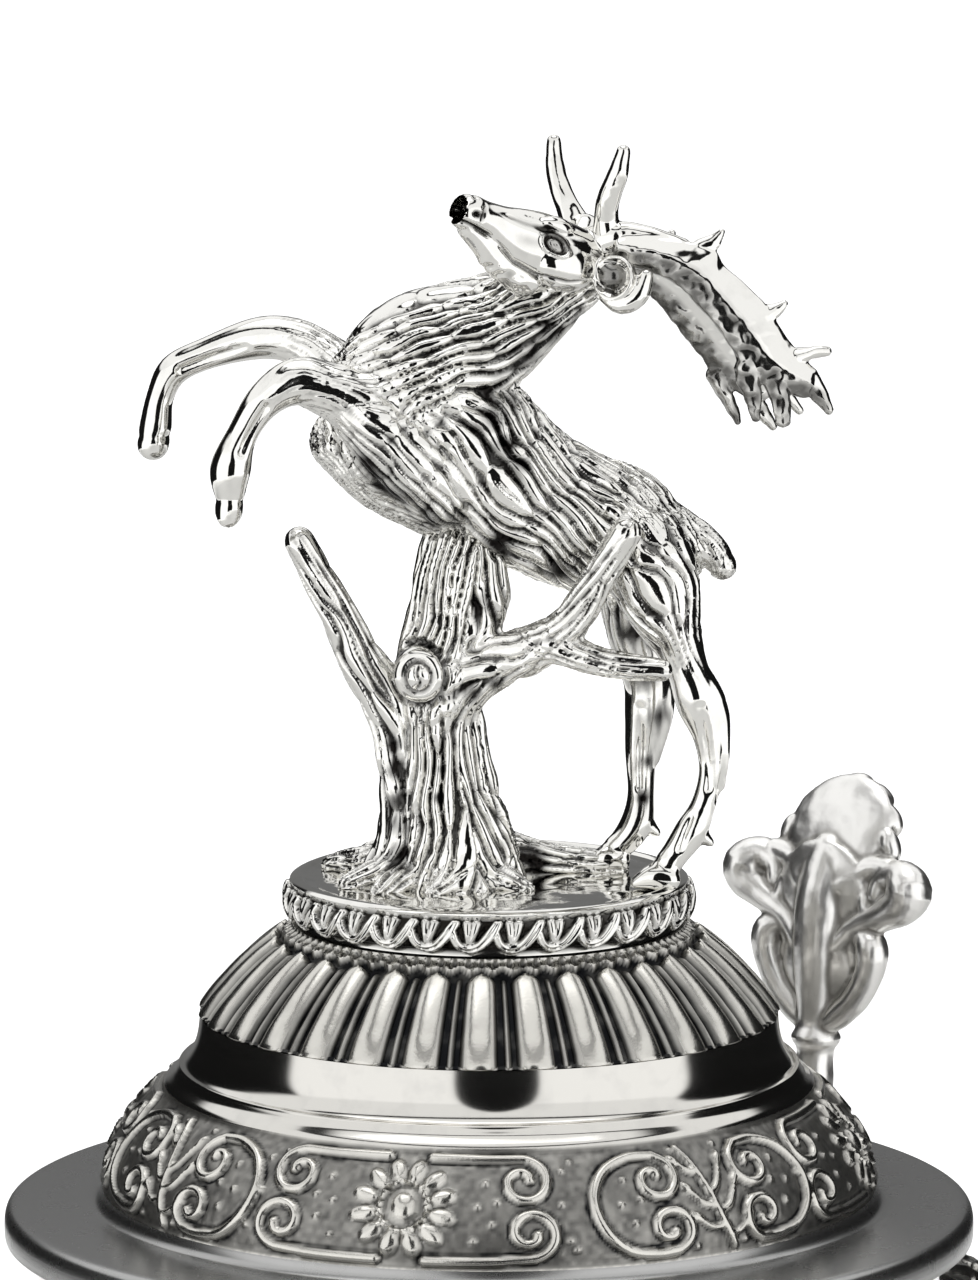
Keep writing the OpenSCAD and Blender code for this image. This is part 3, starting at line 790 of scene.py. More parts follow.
@dataclass
class Lid:
    """The lid's castings: a flanged base with a relief band and a polished band, and a gadrooned dome.

    Heights are measured from the flange's top and radii from the axis, in millimetres.
    """

    finishes: Finishes
    flange_radius: float = 52.4
    flange_thick: float = 3.7
    bore: float = 39.7
    relief_foot: Point = (41.8, 1.9)
    relief_top: Point = (35.1, 13.4)
    lobes: int = 31
    lobe_depth: float = 1.05
    lobe_offset: float = -2.0
    stud_hole: float = 2.3

    def build(self) -> None:
        """Builds every piece of the lid."""
        self.flange()
        self.relief_band()
        self.polished_band()
        self.dome()

    def flange(self) -> None:
        """The flat flange with its rounded rim and the small cove inside it."""
        r, t = self.flange_radius, self.flange_thick
        outline = Outline([
            Run([(self.bore, -t), (r - 0.8, -t)], 1, False),
            Run([(r - 0.15, -t + 0.2), (r, -t + 0.7), (r - 0.02, -1.4), (r - 0.25, -0.55), (r - 0.7, -0.12),
                 (r - 1.3, 0.02)], 0.2),
            Run([(43.4, 0.35)], 0.5, False),
            Run([(42.6, 0.5), (42.1, 0.95), (41.85, 1.5), self.relief_foot], 0.14),
            Run([(40, 1.9), (self.bore, -self.flange_thick)], 0.8, False),
        ])
        hand_over(turn(outline, 512), "lid_flange", Body.LID, self.finishes.satin, ["lid_base"], AT_LID)

    def relief_band(self) -> None:
        """The rounded band of sunflowers and sprigs."""
        outline = Outline([
            Run([self.relief_foot, (41.6, 4.8), (40.4, 7.4), (38.6, 9.9), (37, 11.7), (35.9, 12.65),
                 self.relief_top], 0.26),
            Run([(33.4, 13)], 0.8, False),
            Run([(36, 10.4), (38.4, 7), (39.6, 4.4), (40, 1.9)], 1.2),
            Run([self.relief_foot], 0.9, False),
        ])
        band = OrnamentBand(38.6, outline.length(0), [FRONT + a for a in (-13, 79, 169, 258)],
                            [FRONT + a for a in (36, 124, 213, 302)])
        hand_over(turn(outline, 960, band.lift(0)), "lid_relief_band", Body.LID, self.finishes.cast,
                  ["lid_base"], AT_LID)

    def polished_band(self) -> None:
        """The turned strip, its thin ledge and the hollow band under the dome."""
        outline = Outline([
            Run([self.relief_top, (34.85, 13.75), (34.5, 14.05)], 0.16),
            Run([(34, 14.5), (33.7, 15), (33.55, 15.25)], 0.16),
            Run([(33.45, 15.45), (33.2, 15.5)], 0.08),
            Run([(32.75, 15.75), (32.3, 16.35), (31.85, 17.2), (31.55, 18.1), (31.35, 19.1), (31.25, 20),
                 (31.2, 20.9)], 0.25),
            Run([(29.4, 20.9)], 0.6, False),
            Run([(29.5, 17.5), (30.6, 15), (33.4, 13)], 1),
            Run([self.relief_top], 0.9, False),
        ])
        hand_over(turn(outline, 640), "lid_polished_band", Body.LID, self.finishes.turned,
                  ["lid_base"], AT_LID, 35)

    def gadroons(self, run: Array, along: Array, angle: Array) -> Lifted:
        """Raises broad lobes with a thin rib between each two, under a notched collar.

        Args:
            run: Number of each spot's run.
            along: Place of each spot along its run.
            angle: Direction of each spot from the axis.

        Returns:
            Heights and how far each spot is rubbed back.
        """
        reach = self.outer_length
        place = (np.degrees(angle) - FRONT - self.lobe_offset) / (360 / self.lobes)
        off = np.abs(place - np.rint(place))
        s = along / reach
        top = 0.845
        # The lobe narrows to a round end under the collar.
        closing = np.sqrt(np.clip(1 - np.clip((s - top + 0.07) / 0.07, 0, 1) ** 2, 0, 1))
        half = 0.325 * closing + 1e-4
        lobe = np.sqrt(np.clip(1 - (off / half) ** 2, 0, 1)) ** 0.8 * (s < top)
        rib_end = np.clip((top - 0.01 - s) / 0.06, 0, 1)
        rib = 0.62 * np.sqrt(np.clip(1 - ((0.5 - off) / 0.062) ** 2, 0, 1)) * np.sqrt(rib_end)
        scallop = top + 0.02 + 0.045 * np.cos(np.pi * np.clip(off / 0.5, 0, 1)) ** 2
        collar = np.clip((s - scallop) / 0.02, 0, 1) * 0.8
        twice = np.abs((place * 3) - np.rint(place * 3))
        notch = np.clip(1 - np.hypot(twice * 3.2, (s - 0.955) * 26), 0, 1) * 0.8
        height = np.maximum(np.maximum(lobe, rib), collar) - notch * (collar > 0.3)
        outer = run == 0
        foot = np.clip(s / 0.03, 0, 1)
        lift = np.where(outer, (height - 1) * self.lobe_depth * np.clip(foot, 0.15, 1), 0)
        rubbed = np.where(outer, np.clip(height * 1.35 - 0.22, 0, 1), 1)
        return lift, rubbed

    def dome(self) -> None:
        """The gadrooned dome."""
        outline = Outline([
            Run([(31.2, 20.9), (31.42, 21.15), (31, 21.9), (30, 23.25), (28.9, 24.5), (27.9, 25.6), (26.8, 26.7),
                 (25.4, 27.95), (23.9, 29.1), (22.5, 30), (21.6, 30.55), (21.2, 31)], 0.26),
            Run([(self.stud_hole, 31)], 1.5, False),
            Run([(self.stud_hole, 29.3)], 0.9, False),
            Run([(20.4, 29.3)], 2, False),
            Run([(22.6, 28.2), (25.6, 25.2), (27.6, 22.8), (29.4, 20.9)], 1.2),
            Run([(31.2, 20.9)], 0.6, False),
        ])
        self.outer_length = outline.length(0)
        hand_over(turn(outline, self.lobes * 28, self.gadroons), "lid_gadrooned_dome", Body.LID,
                  self.finishes.cast, ["lid_dome"], AT_LID)


# ---- modelled castings

def swell(work: Forms, points: Line, hint: Point = (0, 1, 0), spacing: float = 0.6,
          sides: int = 24) -> None:
    """Adds a closed swelling form with round ends along a line.

    Args:
        work: Mesh to add to.
        points: Places on the line as x, y, z, half width and, where it is not round, half depth.
        hint: Direction along which the half width is measured.
        spacing: Distance between the rings.
        sides: Points to a ring.
    """
    table = np.array([[*p, p[3]] if len(p) == 4 else p for p in points], float)
    line = fair_line(table, spacing)
    caps = 5
    rings = len(line) + 2 * caps
    made = bmesh.ops.create_uvsphere(work, u_segments=sides, v_segments=rings - 1, radius=1.0)["verts"]
    unit = np.array([v.co for v in made])
    ring = np.rint(np.arccos(np.clip(-unit[:, 2], -1, 1)) / np.pi * (rings - 1)).astype(int)
    turned = np.arctan2(unit[:, 1], unit[:, 0])
    tangent = np.gradient(line[:, :3], axis=0)
    tangent /= norm(tangent, axis=1, keepdims=True)
    side = np.asarray(hint, float) - (tangent @ np.asarray(hint, float))[:, None] * tangent
    side /= norm(side, axis=1, keepdims=True)
    up = np.cross(tangent, side)
    station = np.clip(ring - caps, 0, len(line) - 1)
    past = np.where(ring < caps, ring - caps, np.where(ring > caps + len(line) - 1, ring - caps - len(line) + 1, 0))
    bend = np.clip(past / caps, -1, 1) * np.pi / 2
    here = line[station]
    reach = np.minimum(here[:, 3], here[:, 4])
    place = (here[:, :3] + tangent[station] * (np.sin(bend) * reach)[:, None]
             + side[station] * (np.cos(bend) * here[:, 3] * np.cos(turned))[:, None]
             + up[station] * (np.cos(bend) * here[:, 4] * np.sin(turned))[:, None])
    for vertex, spot in zip(made, place):
        vertex.co = spot


def sheet(work: Forms, upper: Line, lower: Line, thick: float, ridge: float,
          front: Point, spacing: float = 0.3) -> None:
    """Adds a closed blade between two edges, with a raised ridge along its front.

    Args:
        work: Mesh to add to.
        upper: Points of the upper edge as x, y, z.
        lower: Points of the lower edge; the two edges run the same way.
        thick: Half thickness of the blade.
        ridge: Height of the ridge above the blade's face.
        front: Direction in which the front faces, roughly.
        spacing: Distance between the rows along the blade.
    """
    top = fair_line(np.array(upper, float)[:, :3], spacing)
    count = len(top) - 1
    low = fair_line(np.array(lower, float)[:, :3], 0.1)
    low = low[np.rint(np.linspace(0, len(low) - 1, count + 1)).astype(int)]
    around = 36
    made = bmesh.ops.create_grid(work, x_segments=count, y_segments=around, size=1.0)["verts"]
    unit = np.array([v.co for v in made])
    row = np.rint((unit[:, 0] + 1) / 2 * count).astype(int)
    a = (unit[:, 1] + 1) * np.pi
    share = (1 - np.cos(a)) / 2
    along = np.gradient((top + low) / 2, axis=0)
    out = np.cross(along, low - top)
    out /= norm(out, axis=1, keepdims=True)
    out *= np.sign(out @ np.asarray(front, float))[:, None]
    face = np.where(np.sin(a) > 0, 1, -1)
    lens = thick * np.sqrt(np.abs(np.sin(a)) + 1e-9)
    crest = 0.56
    slope = np.where(share < crest, share / crest, (1 - share) / (1 - crest))
    roof = np.where(face > 0, ridge * np.clip(slope, 0, 1) ** 1.15, 0.25 * ridge * np.abs(np.sin(a)))
    taper = np.sqrt(np.clip(np.minimum(row, count - row) / 3, 0, 1))
    middle = top[row] * (1 - share[:, None]) + low[row] * share[:, None]
    for vertex, spot in zip(made, middle + out[row] * (face * (lens + roof) * taper)[:, None]):
        vertex.co = spot
    bmesh.ops.remove_doubles(work, verts=made, dist=0.004)


def bead(work: Forms, centre: Point, size: Point, turned: Optional[Matrix] = None) -> None:
    """Adds an egg shape with its half axes."""
    move = Matrix.Translation(centre) @ (turned.to_4x4() if turned is not None else Matrix())
    bmesh.ops.create_uvsphere(work, u_segments=28, v_segments=18, radius=1.0,
                              matrix=move @ Matrix.Diagonal((*size, 1)))


def fuse(work: Forms, grain: float, soften: int = 4) -> Mesh:
    """Melts overlapping closed forms into one skin.

    Args:
        work: The forms; freed here.
        grain: Size of the new faces, in millimetres.
        soften: Rounds of smoothing.

    Returns:
        One closed mesh.
    """
    bmesh.ops.recalc_face_normals(work, faces=work.faces)
    mesh = finished(work)
    holder = bpy.data.objects.new("forms", mesh)
    bpy.context.scene.collection.objects.link(holder)
    skin = holder.modifiers.new("skin", "REMESH")
    skin.mode = "VOXEL"
    skin.voxel_size = grain
    soft = holder.modifiers.new("soft", "SMOOTH")
    soft.factor = 0.5
    soft.iterations = soften
    graph = bpy.context.evaluated_depsgraph_get()
    fused = bpy.data.meshes.new_from_object(holder.evaluated_get(graph))
    bpy.data.objects.remove(holder)
    bpy.data.meshes.remove(mesh)
    return fused


def lumps(points: Array, size: float, seed: float = 0) -> Array:
    """Smooth noise from about -1 to 1 with features of a given size."""
    shift = Vector((seed * 17.3, seed * 5.1, seed * 9.7))
    return np.array([noise.noise(Vector(p) / size + shift) for p in points])


@dataclass
class Flow:
    """A way in which hair or bark runs along a line.

    Attributes:
        points: Places on the line as x, y, z, half width and, where it is not round, half depth.
        ridge: Direction of the ridge from which the locks part to both sides.
        width: Width of a lock, in millimetres.
        length: Length of a lock.
        depth: Height of the locks at the line's start, and at its end.
        slant: How fast the locks leave the ridge, as a slope.
        seed: Chooses the pattern.
    """

    points: Line
    ridge: Point
    width: float
    length: float
    depth: tuple[float, float]
    slant: float = 0.0
    seed: int = 1

    def place(self, spots: Array) -> tuple[Array, Array, Array, Array]:
        """Places spots in this flow.

        Args:
            spots: One row to a spot.

        Returns:
            How far outside the form each spot is, its place across and along the locks, and its share of the
            line's length.
        """
        table = np.array([[*p[:3], (p[3] + p[-1]) / 2] for p in self.points], float)
        line = fair_line(table, 1.5)
        steps = np.r_[0, np.cumsum(norm(np.diff(line[:, :3], axis=0), axis=1))]
        middle = float(line[:, 3].mean())
        start, span = line[:-1, :3], np.diff(line[:, :3], axis=0)
        size = norm(span, axis=1)
        free = np.einsum("nsk,sk->ns", spots[:, None, :] - start[None], span) / size ** 2
        t = np.clip(free, 0, 1)
        gap = spots[:, None, :] - start[None] - t[:, :, None] * span[None]
        away = norm(gap, axis=2)
        excess = away - (line[:-1, 3] + np.diff(line[:, 3]) * t)
        nearest = away.min(axis=1, keepdims=True)
        weight = np.exp(-(away - nearest) / 0.3)
        weight /= weight.sum(axis=1, keepdims=True)
        lean = np.clip(free, -3, 4)
        lean = np.where(np.arange(len(size)) == 0, np.minimum(lean, 1), np.where(
            np.arange(len(size)) == len(size) - 1, np.maximum(lean, 0), t))
        along = (weight * (steps[:-1] + lean * size)).sum(axis=1)
        tops = np.asarray(self.ridge, float) - (span @ np.asarray(self.ridge, float) / size ** 2)[:, None] * span
        tops /= norm(tops, axis=1, keepdims=True)
        sides = np.cross(span / size[:, None], tops)
        aside = (weight * np.einsum("nsk,sk->ns", gap, sides)).sum(axis=1)
        above = (weight * np.einsum("nsk,sk->ns", gap, tops)).sum(axis=1)
        psi = np.arctan2(aside, above)
        local = (weight * (line[:-1, 3] + np.diff(line[:, 3]) * t)).sum(axis=1)
        radius = 0.65 * middle + 0.35 * local
        out = np.abs(psi) * radius - self.slant * along + 400.0 * (psi < 0)
        return excess.min(axis=1), out / self.width, along, np.clip(along / steps[-1], 0, 1)


def comb(mesh: Mesh, flows: Sequence[Flow], mix: float = 0.5, keep: Optional[Array] = None,
         black: Line = ()) -> None:
    """Raises locks of hair or bark over a mesh, each spot following the flows nearest to it.

    Args:
        mesh: Mesh to shape, in millimetres.
        flows: The flows.
        mix: Distance over which two flows melt into each other.
        keep: Share of the relief that each point takes, or none for all of it.
        black: Places, each with a reach, that are darkened as painted shade.
    """
    spots = read_points(mesh)
    warp = lumps(spots, 5, 1)
    places = [flow.place(spots) for flow in flows]
    nearest = np.min([p[0] for p in places], axis=0)
    total, height, deep = np.full(len(spots), 1e-12), np.zeros(len(spots)), np.zeros(len(spots))
    lock_across, lock_along = np.zeros(len(spots)), np.zeros(len(spots))
    strongest = np.zeros(len(spots))
    for flow, (far, across, along, share) in zip(flows, places):
        index = np.flatnonzero(far < nearest + 4 * mix)
        weight = np.exp(-(far[index] - nearest[index]) / mix)
        raised = strands(across[index] + 0.55 * warp[index], along[index], flow.length, flow.seed)
        depth = flow.depth[0] + (flow.depth[1] - flow.depth[0]) * share[index]
        total[index] += weight
        height[index] += weight * raised
        deep[index] += weight * depth
        stronger = weight > strongest[index]
        chosen = index[stronger]
        strongest[chosen] = weight[stronger]
        lock_across[chosen] = across[chosen] * flow.width
        lock_along[chosen] = along[chosen]
    height, deep = height / total, deep / total
    if keep is not None:
        deep = deep * keep
    push(mesh, deep * (height - 0.55))
    shown = np.clip(deep / 0.3, 0, 1)
    # Painted shade: the listed places are darkened, and the grooves between the locks are darker, partly as black
    # left in them and partly as painted shade.
    hollow = np.zeros(len(spots))
    for x, y, z, reach in black:
        hollow = np.maximum(hollow, np.exp(-(((spots - (x, y, z)) / reach) ** 2).sum(axis=1)))
    ridges = np.clip(height * 2.2 + 0.05 - hollow * 1.6, 0, 1)
    write_wear_and_painted_shade(mesh, 1 - np.maximum(shown, hollow) * (1 - ridges))
    for name, values in (("lock_across", lock_across), ("lock_along", lock_along), ("lock_depth", shown)):
        write_values(mesh, name, values)


@dataclass
class HeadFrame:
    """The stag's head: from the poll to the nose, with its own directions."""

    poll: Point = (11.4, -2.8, 67.8)
    ahead: Point = (-0.782, -0.514, 0.346)
    up: Point = (0.288, 0.189, 0.939)
    near: Point = (0.548, -0.834, 0)

    def at(self, t: float, height: float, side: float) -> Vector:
        """Place at a distance ahead of the poll, above the axis and to the near side."""
        return Vector(self.poll) + t * Vector(self.ahead) + height * Vector(self.up) + side * Vector(self.near)

    def read(self, spots: Array) -> tuple[Array, Array, Array]:
        """Gives the distance ahead, the height and the side of each spot."""
        off = spots - np.array(self.poll)
        return off @ np.array(self.ahead), off @ np.array(self.up), off @ np.array(self.near)


@dataclass
class Stag:
    """The rearing stag: a coated body on bare legs, a head thrown back and two broad antlers.

    All places are in the finial's frame: +X to the tail, +Z up, near side to -Y, in millimetres.
    """

    finishes: Finishes
    coat_grain: float = 0.24
    head_grain: float = 0.15
    antler_grain: float = 0.16
    head: HeadFrame = field(default_factory=HeadFrame)

    TORSO = [(-9.3, -1, 48.7, 7.6, 8.4), (-3.5, -1, 47.8, 7.9, 8.4), (2.1, -0.5, 42.9, 7.6, 8),
             (8, 0, 39.6, 7.1, 7.5), (14.1, 0, 37.4, 6.9, 7.1), (17.6, 0, 35.8, 5.9, 5.6)]
    NECK = [(11.6, -2.8, 67.6, 3, 3.2), (6.6, -2.2, 64.1, 3.9, 4.3), (1.1, -1.5, 60.1, 5.3, 5.9),
            (-6, -1, 55.6, 7.6, 8.5), (-9.8, -1, 51.2, 7.8, 8.6)]
    NEAR_ARM = [(-15.4, -6.4, 53.2, 3), (-12, -6.8, 50, 3.7), (-8, -6.4, 46, 4), (-4.6, -5.6, 42.4, 3.2)]
    FAR_ARM = [(-16.5, 4.6, 54.4, 3), (-12, 4.8, 51, 3.9), (-7, 4.6, 46, 4)]
    BREAST = [(-15.6, -0.6, 47.6, 3.6), (-11, -0.8, 44.6, 4.6), (-5, -0.6, 42, 5)]
    NEAR_HIND = [(15.6, -3.2, 37, 5), (17.2, -3.8, 34.4, 5.2), (18.9, -5, 29.6, 3.8), (20.8, -5.5, 24.8, 2.3),
                 (22.3, -5.5, 20.2, 2.4), (23.5, -5.5, 16.4, 1.75), (23.8, -5.5, 12.6, 1.4),
                 (22.9, -5.6, 9, 1.35), (21.6, -5.8, 6.2, 1.75), (19.8, -6, 3.6, 1.5), (19, -6.1, 2.4, 1.6)]
    FAR_HIND = [(15.4, 3.2, 36, 5), (16, 3.8, 32.6, 4.9), (15.8, 4.5, 26.4, 3.3), (17, 5, 20.8, 2.6),
                (16.9, 5, 17, 2.3), (16.4, 5, 13, 1.75), (16.4, 5, 8.4, 1.45), (16, 5, 5.2, 1.75),
                (14.6, 4.8, 3, 1.6), (13.4, 4.7, 2, 1.5)]
    NEAR_FORE = [(-13.4, -6.2, 52.4, 3.6), (-17.4, -7, 54.1, 2.9), (-20.4, -7.4, 54.9, 2.6), (-23.7, -7.8, 53, 2),
                 (-26.1, -8, 49.4, 1.65), (-27.4, -8, 45.6, 2.2), (-27.5, -8, 42.6, 1.62), (-27.6, -8, 41, 1.5)]
    FAR_FORE = [(-12.4, 3, 51, 4.2), (-18, 5, 55.6, 3), (-21, 5.6, 57.5, 2.5), (-24.8, 6, 57.7, 2.3),
                (-30.2, 6, 56.1, 1.75), (-33.8, 6, 54.3, 1.7), (-35.3, 6, 51.4, 1.5), (-35.8, 6, 48.3, 1.75),
                (-36.1, 6, 46.2, 1.75)]
    TAIL = [(18.6, 0, 37.6, 3.4), (21.6, 0, 37.2, 2.2), (23.8, -0.2, 35.8, 1.75), (25, -0.4, 34, 1.55)]

    # The line along which the coat lies, straighter than the back.
    COAT = [(-11, -1, 51, 7.6, 8.2), (-3, -0.8, 46.2, 8, 8.4), (5, -0.2, 41.6, 7.4, 7.8),
            (14.1, 0, 37, 6.9, 7.1), (18.6, 0, 34.8, 5.6, 5.6)]
    # Painted shade under the mane, behind the shoulder, in the flank, under the belly and down the far hind leg.
    PAINTED_SHADE_SPOTS = [(9, -3.6, 61.6, 2), (6.6, -4.6, 59.4, 2.5), (4.6, -5.4, 56.4, 3), (2.6, -6.4, 53.4, 3),
             (0.6, -7.4, 51, 2.6), (1.6, -8, 48.4, 2), (3.8, -8, 46.4, 1.6), (-12.6, -8, 46.2, 2.2),
             (-9.4, -7.2, 43, 2.4), (-5.2, -6.2, 39.8, 2.8), (1.4, -6, 36.8, 2.6), (6.6, -5.6, 33.6, 2.6),
             (11, -6, 31, 2.2), (-11.6, -6.6, 54.6, 1.4), (19.6, -4.4, 36.4, 1.6), (15.6, 1.6, 27, 2.6),
             (16.4, 2.2, 22, 2), (18.4, 3.2, 17, 1.7), (17.2, 3.4, 12, 1.3), (16.6, 3.6, 8, 1.2)]

    def build(self) -> None:
        """Builds the stag's pieces."""
        self.body()
        self.head_piece()
        self.near_antler()
        self.far_antler()

    def body(self) -> None:
        """Torso, neck, legs and tail in one skin, with the coat combed over it."""
        work = bmesh.new()
        for line in (self.TORSO, self.NECK, self.BREAST):
            swell(work, line, sides=36)
        for line in (self.NEAR_ARM, self.FAR_ARM, self.NEAR_HIND, self.FAR_HIND, self.NEAR_FORE, self.FAR_FORE,
                     self.TAIL):
            swell(work, line)
        # The two tendons and the dew claws that show on every lower leg.
        swell(work, [(20.2, -5.6, 26, 1.5), (24, -5.7, 20.4, 1.3), (24.9, -5.6, 15.5, 0.9), (24.6, -5.5, 11, 0.7)])
        swell(work, [(18.6, 4.8, 22, 1.3), (18.9, 5, 17.4, 1.1), (17.8, 5, 12, 0.7)])
        for start, tip in (((22.4, -5.9, 5.9), (23.7, -5.9, 4.9)), ((17, 5, 4.8), (18.2, 5, 3.9))):
            swell(work, [(*start, 1.1), (*tip, 0.5)])
        # Hooves: a cleft wedge on each foot.
        gap = 0.75
        for side in (-1, 1):
            for toe, heel in (((15.6, -6.3, 0.75), (19.4, -6.2, 1.2)), ((10.8, 4.4, 0.8), (14.2, 4.8, 1.3))):
                swell(work, [(heel[0], heel[1] + side * gap, heel[2], 1.15, 1.5),
                             ((toe[0] + heel[0]) / 2, toe[1] + side * gap, 1.25, 1, 1.35),
                             (toe[0], toe[1] + side * gap * 0.8, toe[2] - 0.1, 0.6, 0.55)])
            swell(work, [(-27.5, -8 + side * 0.65, 42, 1.1, 1.3), (-27.7, -8 + side * 0.6, 40.3, 0.95, 1.15)])
            swell(work, [(-36.1, 6 + side * 0.7, 47, 1.25, 1.5), (-36.3, 6 + side * 0.65, 45.9, 1.1, 1.45)])
        mesh = fuse(work, self.coat_grain, 9)
        flows = [
            Flow(self.COAT, (0.45, 0, 0.9), 1.6, 8.5, (1.15, 1), 0.3, 3),
            Flow(self.NECK, (0.62, 0, -0.78), 1.5, 7.5, (0.75, 1.15), 0.42, 5),
            Flow(self.NEAR_ARM, (0.3, -0.5, 0.8), 1.4, 6.5, (0.2, 0.6), 0, 8),
            Flow(self.FAR_ARM, (0.3, 0.5, 0.8), 1.4, 6.5, (0.2, 0.6), 0, 9),
            Flow(self.NEAR_HIND, (-1, 0, 0.3), 1.5, 7.5, (1, -1.1), 0, 6),
            Flow(self.FAR_HIND, (-1, 0, 0.3), 1.5, 7.5, (1, -1.1), 0, 7),
            Flow(self.NEAR_FORE, (0, 0, 1), 0.7, 5, (0.12, 0.02), 0, 12),
            Flow(self.FAR_FORE, (0, 0, 1), 0.8, 4.5, (0.5, -0.5), 0, 13),
            Flow(self.BREAST, (0, -0.4, -1), 0.7, 4, (0.3, 0.3), 0, 14),
            Flow(self.TAIL, (0.3, 0, 1), 0.7, 4, (0.35, 0.08), 0, 15),
        ]
        spots = read_points(mesh)
        # The cannons, the feet and the hooves are bare.
        low = ramp(spots[:, 2], 21, 7)
        forward = ramp(spots[:, 0], -25, 6)
        comb(mesh, flows, 0.8, np.where(spots[:, 0] > 5, low, forward), self.PAINTED_SHADE_SPOTS)
        self.carve_hooves(mesh)
        hand_over(mesh, "stag_body_coat", Body.LID, self.finishes.coat, ["stag_body"], AT_FINIAL, 75)

    def carve_hooves(self, mesh: Mesh) -> None:
        """Cuts the band above each hoof and the hollows beside the tendons.

        Args:
            mesh: The stag's skin, which is changed.
        """
        spots = read_points(mesh)
        depth = np.zeros(len(spots))
        for centre, axis, width in (((18.9, -6.1, 2.6), (0.45, 0, 0.9), 2.6), ((13.6, 4.7, 2.4), (0.4, 0, 0.9), 2.6),
                                    ((-27.5, -8, 42.3), (0, 0, 1), 2.2), ((-36.1, 6, 47.2), (0, 0, 1), 2.6)):
            off = spots - np.array(centre)
            line = off @ (np.array(axis) / norm(axis))
            depth -= 0.12 * bell(line, 0, 0.42) * (norm(off, axis=1) < width)
        for start, end, reach in (
                ((22.6, -7.4, 20), (23.4, -7, 11), 0.5), ((-23.5, -9.6, 52.4), (-26.2, -9.6, 47.6), 0.5),
                ((-26, 4.4, 57.2), (-33, 4.4, 54.6), 0.45), ((16.4, 3.2, 18), (16.2, 3.4, 9), 0.5),
                ((24.9, -5.9, 20), (24.7, -6.2, 9.5), 0.4), ((21.4, -7.2, 8), (20.4, -7.4, 4.6), 0.4)):
            a, b = np.array(start), np.array(end)
            t = np.clip((spots - a) @ (b - a) / ((b - a) @ (b - a)), 0, 1)
            gap = norm(spots - a - t[:, None] * (b - a), axis=1)
            depth -= 0.5 * np.exp(-(gap / reach) ** 2)
        push(mesh, depth)

    def head_piece(self) -> None:
        """The head with its ears and the burrs of the antlers, chased by hand."""
        work = bmesh.new()
        head = self.head
        profile = [(-1.5, 2.3, 1.7, 2.6), (1, 3, 2.1, 3.8), (4, 3.45, 2.35, 4.7), (7, 3.35, 2.4, 4.9),
                   (9.5, 2.85, 2.25, 4.6), (12, 2.25, 1.85, 3.7), (14, 1.95, 1.55, 2.8), (15.6, 1.9, 1.5, 2.45),
                   (17, 2, 1.65, 2.4), (18.1, 1.8, 1.45, 2.3), (18.7, 1.45, 1.1, 1.9)]
        line = [(*head.at(t, (up - down) / 2, 0), half, (up + down) / 2) for t, half, up, down in profile]
        swell(work, line, head.near, 0.4, 40)
        for side in (-1, 1):
            # Brow, cheek and the corner of the jaw.
            bead(work, head.at(7.2, 1.2, side * 1.9), (2.1, 1.1, 1.2), self.turned_to_head())
            bead(work, head.at(5, -2.4, side * 2), (3.8, 2.7, 2.2), self.turned_to_head())
        # Lower jaw running back to the throat.
        swell(work, [(*head.at(16.6, -1.9, 0), 1.25), (*head.at(14.2, -3, 0), 1.4), (*head.at(11.4, -4.3, 0), 1.7),
                     (*head.at(8, -5, 0), 1.9)])
        # Burrs on which the antlers stand.
        swell(work, [(10.4, -3.2, 68.6, 2.1), (12.4, -4.2, 69.6, 1.9), (13.4, -4.6, 70, 1.8)])
        swell(work, [(9.6, -2.2, 69, 1.9), (10.2, -0.4, 70.2, 1.8)])
        self.ear(work, (13.3, -7.4, 65.9), (-0.5, -0.83, 0.25), 2.5)
        self.ear(work, (9.3, 2.2, 69.2), (-0.5, 0.8, 0.3), 2)
        swell(work, [(11.4, -4.6, 67, 1.7), (13.2, -6.2, 66, 1.6)])
        swell(work, [(12.4, -7.2, 63.9, 0.8), (14, -7.8, 63.2, 1.15), (15.8, -8, 64.2, 1.15),
                     (16.6, -7.8, 66.2, 0.8)])
        mesh = fuse(work, self.head_grain, 5)
        spots = read_points(mesh)
        t, up, side = head.read(spots)
        depth = np.zeros(len(spots))

        def pit(at: Point, size: Point, amount: float) -> Array:
            """Depth of a round-bottomed hollow, or of a swelling, in the side view of the head."""
            return amount * np.exp(-((t - at[0]) / size[0]) ** 2 - ((up - at[1]) / size[1]) ** 2)

        outside = np.clip(np.abs(side) - 0.4, 0, 1)
        # Eye: almond lids round a ball with a drilled pupil, under a dark brow.
        tilt_t = (t - 7.6) * 0.97 + (up + 0.75) * 0.24
        tilt_up = (up + 0.75) * 0.97 - (t - 7.6) * 0.24
        almond = np.sqrt((tilt_t / 1.45) ** 2 + (tilt_up / 0.95) ** 2)
        depth += outside * (0.26 * bell(almond, 1.1, 0.17) - 0.34 * bell(almond, 0.74, 0.14)
                            + 0.2 * bell(almond, 0, 0.45) - 0.26 * bell(almond, 0, 0.16))
        depth += outside * pit((8.9, 0.55), (1.2, 0.34), -0.5)
        # Nostrils with a flared wing, and the split lip.
        depth += outside * (pit((17.2, -0.35), (0.5, 0.34), -0.62) + pit((16.4, -0.1), (0.28, 0.8), -0.32))
        depth += pit((17.4, 1.35), (0.3, 0.3), -0.22) * (np.abs(side) < 1.2)
        mouth = np.abs(up - (-1.55 - 0.10 * (18.5 - t) ** 1.15 * (t < 18.5)))
        depth -= 0.42 * bell(mouth, 0, 0.2) * ramp(t, 14.2, 0.8)
